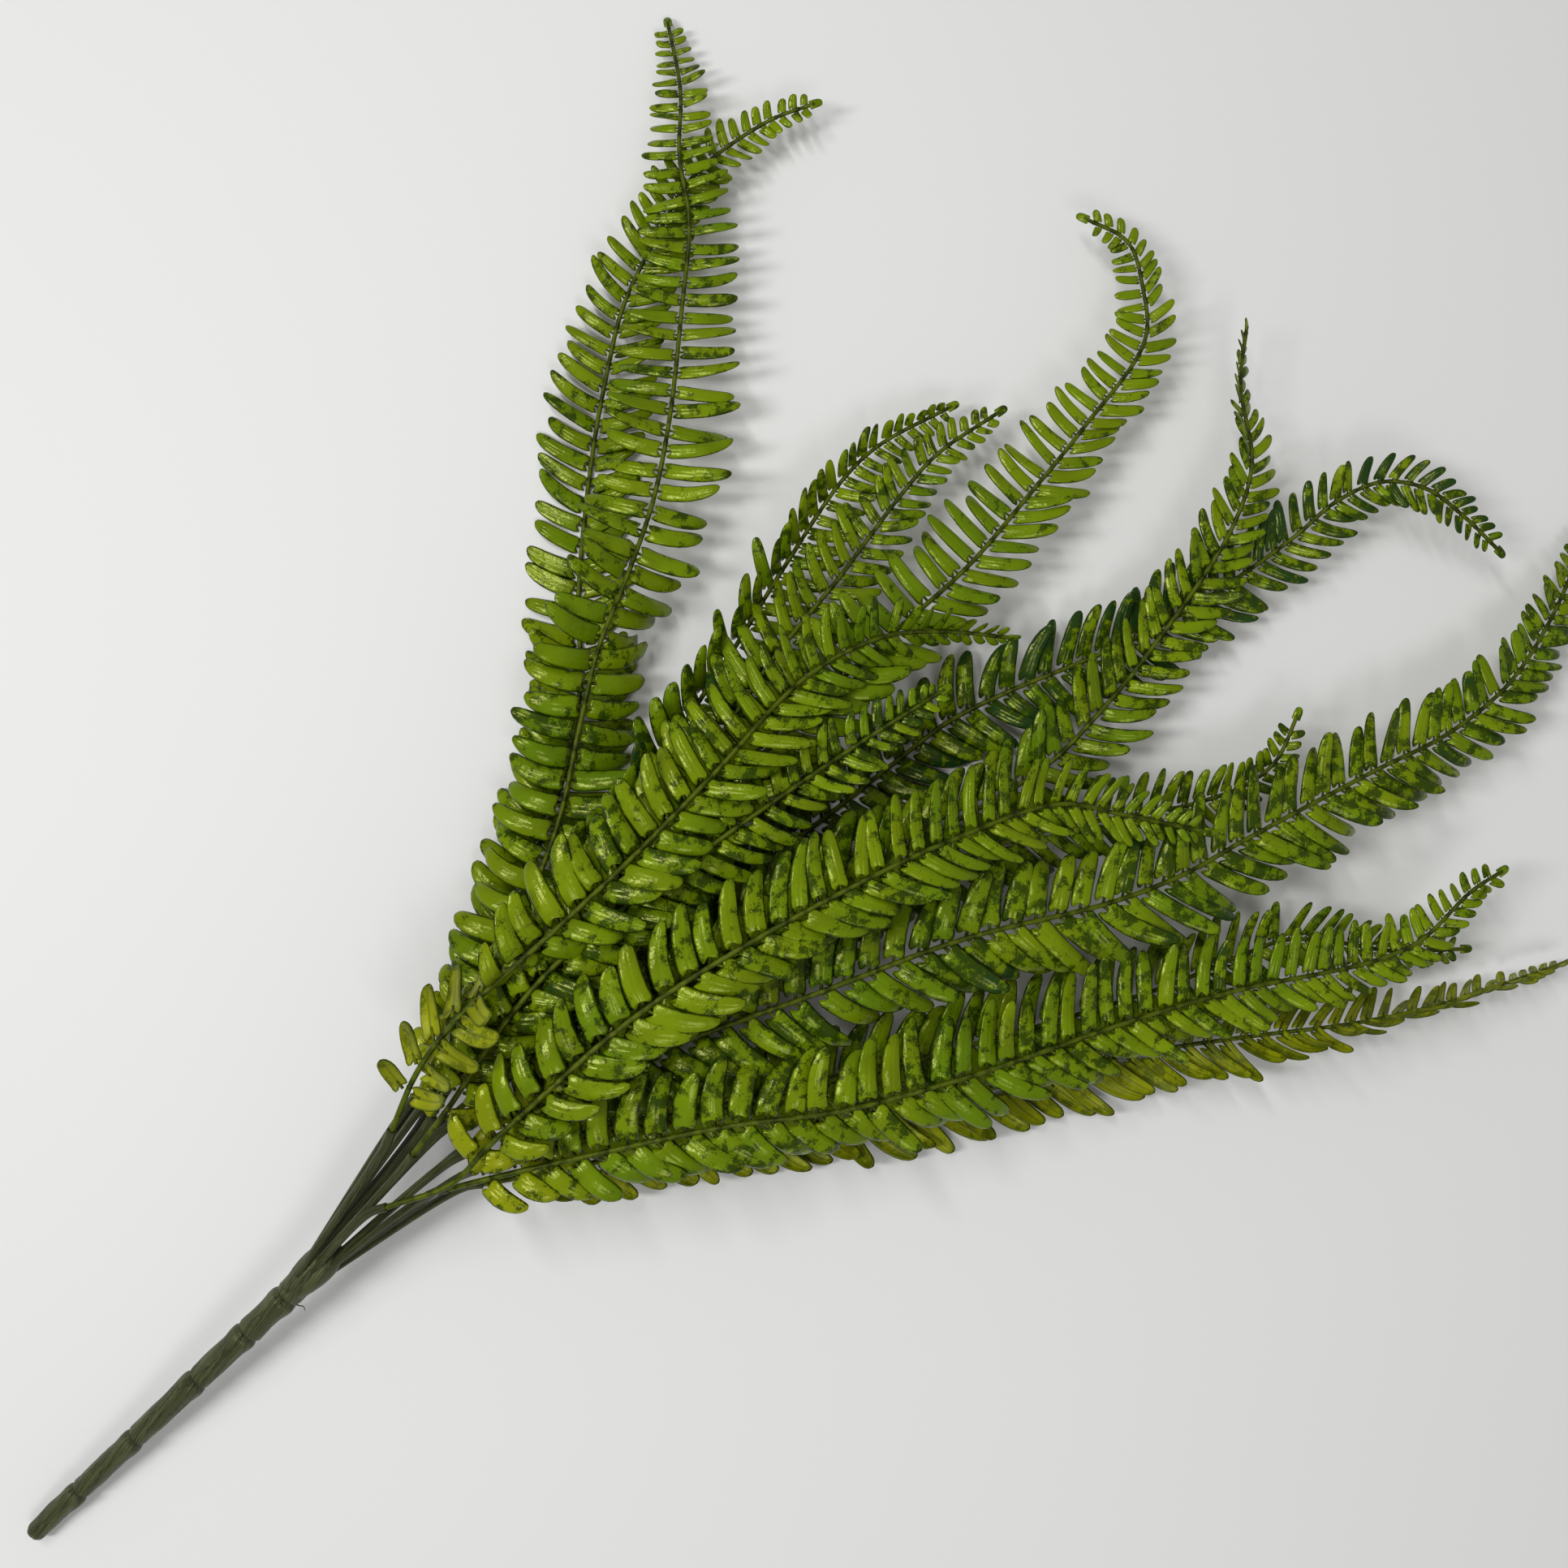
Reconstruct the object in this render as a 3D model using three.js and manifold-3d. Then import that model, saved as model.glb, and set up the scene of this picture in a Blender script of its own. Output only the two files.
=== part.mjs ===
// An artificial fern spray that lies on its side: one moulded stem whose fifteen branches end in
// sockets, and fifteen moulded fronds plugged into them. Millimetres, +Z up, +X along the stem
// towards the fronds, the origin under the middle of the spray on the surface it lies on.
import * as THREE from "three";
import { mergeVertices } from "three/addons/utils/BufferGeometryUtils.js";
import Module from "manifold-3d";

const wasm = await Module();
wasm.setup();

// Driving dimensions. Routes are measured from a point on the surface below the fork of the stem.
const FORK_PLACE = new THREE.Vector3(-215.2, -5.9, -0.2);
const FORK_HEIGHT = 30;
const PICK_LENGTH = 177;
const PICK_SIDE = -1.5;
const PICK_END_HEIGHT = 4.8;
const PICK_END_RADIUS = 4.6;
const PICK_END_ROUNDING = 1.4;
const PICK_FORK_RADIUS = 6.4;
const PICK_SIDES = 12;
const RING_DISTANCES = [31, 67, 106, 137, 161];
const RING_RAISE = 0.6;
const RING_HALF_LENGTH = 1.5;
const HUB_LENGTH = 56;
const HUB_RADIUS = 7;
const HUB_FLATNESS = 1.7;
const HUB_OFFSET = new THREE.Vector3(11, PICK_SIDE, 1);
const HUB_SIDES = 12;
const HUB_ROWS = 8;
const BRANCH_RADIUS = 3;
const BRANCH_SIDES = 8;
const BRANCH_STEPS = 8;
const ROOT_PLACE = -6;
const ROOT_SPREAD = 0.2;
const SOCKET_BORE_RADIUS = 2.1;
const SOCKET_DEPTH = 7;
const SOCKET_STRAIGHT = 13;
const BORE_OVERRUN = 2;
const PIN_DEPTH = 6;
const MIDRIB_HALF_WIDTH = 1.5;
const MIDRIB_HALF_HEIGHT = 1.1;
const MIDRIB_TIP_SHARE = 0.55;
const TOOTH_PITCH = 17;
const TOOTH_SWEEP = 0.22;
const TOOTH_START = 0.2;
const TOOTH_END = 0.85;
const FIRST_REACH = 0.45;
const REACH_RISE = 2.2;
const TAPER_START = 0.6;
const TAPER_DEPTH = 0.75;
const TAPER_POWER = 1.4;

// Each route runs along a frond's midrib from its socket mouth to its tip: x, y, height and, where
// the frond is turned about its midrib, that turn in degrees. reach is half the frond's full width,
// bare the length of midrib before the first leaflets.
const FRONDS = [
  { name: "frond_top", reach: 28, bare: 46, route: [
    [44, -3, 46], [71, -14, 51], [94, -13, 58], [129, -13, 66], [161, -14, 70], [198, -19, 70],
    [267, -36, 66], [314, -52, 59], [353, -71, 51], [369, -92, 46], [390, -122, 42]] },
  { name: "frond_long_left", reach: 27, bare: 24, route: [
    [68, 18, 50], [94, 28, 57], [120, 32, 62], [173, 31, 63], [216, 31, 62], [262, 33, 58],
    [313, 36, 51], [347, 27, 47, 40], [367, 12, 43, 60], [387, -10, 39, 60]] },
  { name: "frond_inner_left", reach: 25, bare: 20, route: [
    [66, 5, 45], [91, 9, 50], [137, 19, 55], [172, 21, 57], [247, 12, 53], [305, 3, 46],
    [352, -6, 42]] },
  { name: "frond_front", reach: 28, bare: 16, route: [
    [66, -15, 42], [78, -21, 45], [107, -37, 49], [166, -72, 53], [206, -101, 51], [253, -127, 47],
    [322, -160, 40], [357, -179, 38], [404, -208, 36], [424, -215, 36], [453, -215, 35],
    [468, -218, 34]] },
  { name: "frond_curled_tip", reach: 26, bare: 20, route: [
    [81, 11, 39], [103, 16, 43], [140, 19, 49], [198, 23, 51], [261, 25, 47], [309, 26, 42],
    [355, 25, 36], [395, 24, 31], [433, 28, 27], [471, 33, 24], [515, 42, 23], [530, 59, 22],
    [539, 77, 20], [533, 97, 19]] },
  { name: "frond_middle_left", reach: 25, bare: 20, route: [
    [87, 18, 36], [108, 21, 39], [142, 24, 43], [203, 30, 43], [268, 42, 39], [315, 52, 34],
    [352, 57, 30], [397, 65, 24], [419, 67, 23], [451, 62, 22]] },
  { name: "frond_tilted_left", reach: 26, bare: 20, route: [
    [83, 22, 27], [112, 23, 32], [142, 26, 35], [191, 41, 35], [233, 48, 32], [260, 56, 30],
    [301, 66, 24], [341, 77, 20], [385, 87, 18], [406, 87, 16], [439, 78, 16]] },
  { name: "frond_far_left", reach: 26, bare: 20, route: [
    [78, 14, 27], [112, 25, 26], [128, 31, 27], [165, 47, 28], [200, 64, 27], [231, 85, 28, 20],
    [261, 104, 32, 40], [291, 118, 32, 30], [320, 134, 27], [348, 154, 26], [382, 183, 24],
    [411, 209, 23], [427, 232, 22], [447, 253, 16], [466, 282, 5]] },
  { name: "frond_low_left", reach: 26, bare: 20, route: [
    [75, 21, 18], [114, 32, 16], [149, 47, 14], [181, 62, 9], [220, 83, 5], [246, 104, 2.5],
    [268, 129, 1.2], [314, 169, 2.5], [345, 191, 8], [368, 205, 12], [398, 216, 14], [427, 224, 14],
    [465, 219, 15], [484, 210, 18]] },
  { name: "frond_long_right", reach: 28, bare: 20, route: [
    [79, -9, 39], [103, -15, 42], [128, -20, 45], [180, -38, 46], [228, -59, 46], [288, -85, 43],
    [342, -116, 39], [373, -129, 36], [400, -136, 34], [460, -153, 31], [492, -163, 28],
    [524, -166, 26], [557, -161, 19], [606, -146, 5]] },
  { name: "frond_middle_right", reach: 25, bare: 20, route: [
    [82, -8, 30], [102, -10, 34], [135, -12, 38], [192, -24, 38], [246, -39, 36], [299, -57, 32],
    [341, -76, 30], [376, -99, 27], [396, -112, 26], [419, -122, 24], [434, -123, 24],
    [453, -115, 26]] },
  { name: "frond_upturned", reach: 26, bare: 20, route: [
    [82, 3, 30], [111, 0, 24], [142, -2, 22], [203, -13, 22], [257, -28, 22], [310, -47, 22],
    [364, -59, 22], [394, -58, 23], [425, -54, 24], [486, -40, 26], [511, -26, 26, 30],
    [530, 1, 26, 55], [548, 17, 28, 60]] },
  { name: "frond_low_curl", reach: 27, bare: 20, route: [
    [79, 6, 19], [111, 4, 14], [147, 5, 9], [210, -3, 3], [274, -11, 1.2], [318, -15, 3],
    [347, -18, 8], [374, -26, 11], [418, -43, 14], [448, -52, 14], [504, -61, 18], [527, -62, 22],
    [546, -69, 24], [556, -83, 27], [560, -103, 26], [562, -124, 23]] },
  { name: "frond_inner_right", reach: 26, bare: 20, route: [
    [77, -18, 32], [113, -34, 30], [156, -61, 28], [201, -88, 26], [245, -114, 23], [336, -161, 19],
    [370, -174, 19], [387, -182, 19], [402, -198, 18], [415, -215, 18], [439, -237, 16]] },
  { name: "frond_low_right", reach: 27, bare: 24, route: [
    [72, -24, 23], [100, -45, 12], [145, -72, 7], [186, -103, 2.5], [230, -132, 1.2], [277, -159, 3],
    [307, -175, 8, -10], [345, -200, 14, -32], [382, -225, 23, -75], [411, -243, 22, -84],
    [436, -256, 19, -84], [467, -272, 12, -80]] },
];

const STEM_PLASTIC = { color: 0x48523a, roughness: 0.75, metalness: 0 };
const FROND_PLASTIC = { color: 0x6f9433, roughness: 0.4, metalness: 0 };

const UP = new THREE.Vector3(0, 0, 1);

// Solids to and from manifold-3d, which joins the branches and cuts the sockets.
function toSolid(geometry) {
  const bare = geometry.clone();
  bare.deleteAttribute("normal");
  bare.deleteAttribute("uv");
  const merged = mergeVertices(bare);
  return new wasm.Manifold(new wasm.Mesh({
    numProp: 3,
    vertProperties: new Float32Array(merged.attributes.position.array),
    triVerts: new Uint32Array(merged.index.array),
  }));
}

function toGeometry(solid) {
  const mesh = solid.getMesh();
  const geometry = new THREE.BufferGeometry();
  geometry.setAttribute("position", new THREE.BufferAttribute(mesh.vertProperties, 3));
  geometry.setIndex(new THREE.BufferAttribute(mesh.triVerts, 1));
  geometry.computeVertexNormals();
  return geometry;
}

function routePoint(point) {
  return new THREE.Vector3(point[0], point[1], point[2]);
}

// The midrib of a frond as a curve that can be sampled by distance, with the frond's turn.
function midrib(frond) {
  const curve = new THREE.CatmullRomCurve3(frond.route.map(routePoint));
  curve.arcLengthDivisions = 400;
  const length = curve.getLength();
  const spans = frond.route.length - 1;
  function turnAt(share) {
    const along = curve.getUtoTmapping(share) * spans;
    const span = Math.min(Math.floor(along), spans - 1);
    const from = frond.route[span][3] ?? 0;
    const to = frond.route[span + 1][3] ?? 0;
    return THREE.MathUtils.degToRad(THREE.MathUtils.lerp(from, to, along - span));
  }
  return { curve, length, turnAt };
}

// Half the frond's width along its leafy part: short first leaflets, full width, a tapering tip.
function reachAt(frond, leafyShare) {
  const rise = Math.min(1, FIRST_REACH + REACH_RISE * leafyShare);
  const tapered = Math.max(0, (leafyShare - TAPER_START) / (1 - TAPER_START));
  return frond.reach * rise * (1 - TAPER_DEPTH * tapered ** TAPER_POWER);
}

// Stations along a frond: the pin in the socket, the bare midrib, then one tooth with straight
// sides for each two pairs of leaflets, each tooth between two notches that reach the midrib.
function frondStations(frond, length) {
  const stations = [{ distance: -PIN_DEPTH, reach: MIDRIB_HALF_WIDTH }];
  stations.push({ distance: 0, reach: MIDRIB_HALF_WIDTH });
  stations.push({ distance: frond.bare / 2, reach: MIDRIB_HALF_WIDTH });
  const leafy = length - frond.bare;
  const teeth = Math.round(leafy / TOOTH_PITCH);
  const pitch = leafy / teeth;
  for (let tooth = 0; tooth < teeth; tooth += 1) {
    const start = frond.bare + tooth * pitch;
    const reach = reachAt(frond, (tooth + 0.5) / teeth);
    stations.push({ distance: start, reach: MIDRIB_HALF_WIDTH });
    stations.push({ distance: start + pitch * TOOTH_START, reach });
    stations.push({ distance: start + pitch * TOOTH_END, reach });
  }
  stations.push({ distance: length, reach: MIDRIB_HALF_WIDTH * MIDRIB_TIP_SHARE });
  return stations;
}

// One frond as a flattened tube of four sides: its ridges are the midrib, its edges the leaflets.
function frondGeometry(frond) {
  const { curve, length, turnAt } = midrib(frond);
  const stations = frondStations(frond, length);
  const geometry = new THREE.CylinderGeometry(1, 1, 1, 4, stations.length - 1);
  const position = geometry.attributes.position;
  for (let vertex = 0; vertex < position.count; vertex += 1) {
    const side = position.getX(vertex);
    const ridge = position.getZ(vertex);
    const row = Math.round((0.5 - position.getY(vertex)) * (stations.length - 1));
    const { distance, reach } = stations[row];
    const share = THREE.MathUtils.clamp(distance / length, 0, 1);
    const centre = curve.getPointAt(share);
    const tangent = curve.getTangentAt(share);
    centre.addScaledVector(tangent, Math.min(distance, 0));
    const across = new THREE.Vector3().crossVectors(UP, tangent).normalize();
    const over = new THREE.Vector3().crossVectors(tangent, across);
    const turn = turnAt(share);
    const leaf = across.clone().multiplyScalar(Math.cos(turn)).addScaledVector(over, Math.sin(turn));
    const face = over.multiplyScalar(Math.cos(turn)).addScaledVector(across, -Math.sin(turn));
    const thickness = MIDRIB_HALF_HEIGHT * THREE.MathUtils.lerp(1, MIDRIB_TIP_SHARE, share);
    centre.addScaledVector(leaf, side * reach);
    centre.addScaledVector(tangent, Math.abs(side) * (reach - MIDRIB_HALF_WIDTH) * TOOTH_SWEEP);
    centre.addScaledVector(face, ridge * thickness);
    position.setXYZ(vertex, centre.x, centre.y, centre.z);
  }
  geometry.deleteAttribute("normal");
  geometry.deleteAttribute("uv");
  const closed = mergeVertices(geometry);
  closed.computeVertexNormals();
  return closed;
}

// A tube along a curve, closed at both ends.
function tube(curve, radius, sides, steps) {
  const section = new THREE.Shape();
  for (let side = 0; side < sides; side += 1) {
    const angle = (side / sides) * 2 * Math.PI;
    const x = radius * Math.cos(angle);
    const y = radius * Math.sin(angle);
    if (side === 0) section.moveTo(x, y);
    else section.lineTo(x, y);
  }
  return new THREE.ExtrudeGeometry(section, { steps, extrudePath: curve, bevelEnabled: false });
}

// The thick end of the stem, turned about its own axis: a domed end and raised joint rings.
function pickGeometry() {
  const slope = Math.atan2(FORK_HEIGHT - PICK_END_HEIGHT, PICK_LENGTH);
  const length = PICK_LENGTH / Math.cos(slope);
  const radiusAt = (x) => THREE.MathUtils.lerp(PICK_END_RADIUS, PICK_FORK_RADIUS, x / length);
  const profile = [new THREE.Vector2(0, 0)];
  profile.push(new THREE.Vector2(PICK_END_RADIUS - PICK_END_ROUNDING, PICK_END_ROUNDING));
  profile.push(new THREE.Vector2(PICK_END_RADIUS, PICK_END_RADIUS));
  for (const distance of RING_DISTANCES) {
    const radius = radiusAt(distance);
    profile.push(new THREE.Vector2(radius, distance - RING_HALF_LENGTH));
    profile.push(new THREE.Vector2(radius + RING_RAISE, distance));
    profile.push(new THREE.Vector2(radius, distance + RING_HALF_LENGTH));
  }
  profile.push(new THREE.Vector2(PICK_FORK_RADIUS, length));
  profile.push(new THREE.Vector2(0, length + PICK_FORK_RADIUS / 2));
  const geometry = new THREE.LatheGeometry(profile, PICK_SIDES);
  geometry.rotateZ(-Math.PI / 2);
  geometry.rotateY(-slope);
  geometry.translate(-PICK_LENGTH, PICK_SIDE, PICK_END_HEIGHT);
  return geometry;
}

// The flattened web between the roots of the branches.
function hubGeometry() {
  const geometry = new THREE.SphereGeometry(1, HUB_SIDES, HUB_ROWS);
  geometry.scale(HUB_LENGTH / 2, HUB_RADIUS * HUB_FLATNESS, HUB_RADIUS);
  geometry.translate(HUB_OFFSET.x, HUB_OFFSET.y, FORK_HEIGHT + HUB_OFFSET.z);
  return geometry;
}

// Where a frond leaves its socket, and which way.
function socketMouth(frond) {
  const { curve } = midrib(frond);
  return { mouth: curve.getPointAt(0), heading: curve.getTangentAt(0) };
}

function branchGeometry(frond) {
  const { mouth, heading } = socketMouth(frond);
  const root = new THREE.Vector3(ROOT_PLACE, PICK_SIDE, FORK_HEIGHT);
  root.y += mouth.y * ROOT_SPREAD;
  root.z += (mouth.z - FORK_HEIGHT) * ROOT_SPREAD;
  const throat = mouth.clone().addScaledVector(heading, -SOCKET_STRAIGHT);
  const curve = new THREE.CatmullRomCurve3([root, throat, mouth]);
  return tube(curve, BRANCH_RADIUS, BRANCH_SIDES, BRANCH_STEPS);
}

function boreGeometry(frond) {
  const { mouth, heading } = socketMouth(frond);
  const from = mouth.clone().addScaledVector(heading, -SOCKET_DEPTH);
  const to = mouth.clone().addScaledVector(heading, BORE_OVERRUN);
  return tube(new THREE.LineCurve3(from, to), SOCKET_BORE_RADIUS, BRANCH_SIDES, 1);
}

function stemGeometry() {
  let stem = toSolid(pickGeometry()).add(toSolid(hubGeometry()));
  for (const frond of FRONDS) stem = stem.add(toSolid(branchGeometry(frond)));
  for (const frond of FRONDS) stem = stem.subtract(toSolid(boreGeometry(frond)));
  return toGeometry(stem);
}

function part(name, geometry, plastic) {
  const mesh = new THREE.Mesh(geometry, new THREE.MeshStandardMaterial(plastic));
  mesh.name = name;
  return mesh;
}

const spray = new THREE.Group();
spray.position.copy(FORK_PLACE);
spray.add(part("main_stem", stemGeometry(), STEM_PLASTIC));
for (const frond of FRONDS) spray.add(part(frond.name, frondGeometry(frond), FROND_PLASTIC));

export default spray;
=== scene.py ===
"""An artificial fern spray lying on a pale surface: fifteen plug-in fronds on one moulded stem."""

import math
import random

import bmesh
import bpy
import numpy as np
from bpy.props import FloatProperty, FloatVectorProperty, IntProperty, PointerProperty
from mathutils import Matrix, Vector, noise


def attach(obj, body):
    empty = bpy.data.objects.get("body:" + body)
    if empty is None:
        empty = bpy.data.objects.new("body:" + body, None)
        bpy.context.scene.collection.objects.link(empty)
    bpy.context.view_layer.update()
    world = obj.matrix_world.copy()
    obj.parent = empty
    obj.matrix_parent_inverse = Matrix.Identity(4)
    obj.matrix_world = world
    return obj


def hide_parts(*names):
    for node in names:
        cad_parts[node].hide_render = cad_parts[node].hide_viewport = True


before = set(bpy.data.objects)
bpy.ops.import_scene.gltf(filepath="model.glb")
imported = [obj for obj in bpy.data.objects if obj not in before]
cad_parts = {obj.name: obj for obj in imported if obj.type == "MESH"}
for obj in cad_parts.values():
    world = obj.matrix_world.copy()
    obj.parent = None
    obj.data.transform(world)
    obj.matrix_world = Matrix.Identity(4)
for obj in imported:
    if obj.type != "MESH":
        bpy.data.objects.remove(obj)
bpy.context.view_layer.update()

bl_info = {
    "name": "Fern Spray",
    "version": (1, 0, 0),
    "blender": (4, 5, 0),
    "location": "View3D > Sidebar > Fern Spray",
    "description": "Models an artificial fern spray around its CAD frame",
    "category": "Add Mesh",
}

BODY = "root"
GREEN_SHINE = (0.95, 1.0, 0.32, 1.0)
OLIVE_SHINE = (0.95, 1.0, 0.7, 1.0)

# Every route is measured from the point on the surface below the fork of the stem.
FORK_PLACE = np.array([-0.2152, -0.0059, -0.0002])
FORK_HEIGHT = 0.030
PICK_LENGTH = 0.177
PICK_END_HEIGHT = 0.0048
PICK_SIDE = -0.0015
PICK_END_RADIUS = 0.0044
PICK_FORK_RADIUS = 0.0060
PICK_SWELL_POWER = 1.4
PICK_STEP = 0.0008
PICK_OVERRUN = 0.012
RING_DISTANCES = (0.031, 0.067, 0.106, 0.137, 0.161)
RING_NOTCH = 0.22
RING_NOTCH_WIDTH = 0.0010
RING_STAIN_WIDTH = 0.0012
FLARE = 0.08
FLARE_PLACE = 0.0040
FLARE_WIDTH = 0.0034
FIBRE_TWIST = 34
FIBRE_COUNT = 2.6
HUB_SIZE = (0.017, 0.0072, 0.0060)
BRANCH_ROOT = -0.006
BRANCH_ROOT_SPREAD = 0.16
BRANCH_ROOT_RISE = 0.2
BRANCH_THROAT = 0.008
BRANCH_STATIONS = 26
SOCKET_WALL = 0.22
FLASH_STEPS = (
    (0, 0, 0), (0.0006, -0.0012, 0), (0.0016, -0.0022, 0.0003),
    (0.0019, -0.0034, 0.0009), (0.0014, -0.0044, 0.0012),
)
FLASH_RADII = (0.0004, 0.0003, 0.00024, 0.0002, 0.0001)

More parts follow.
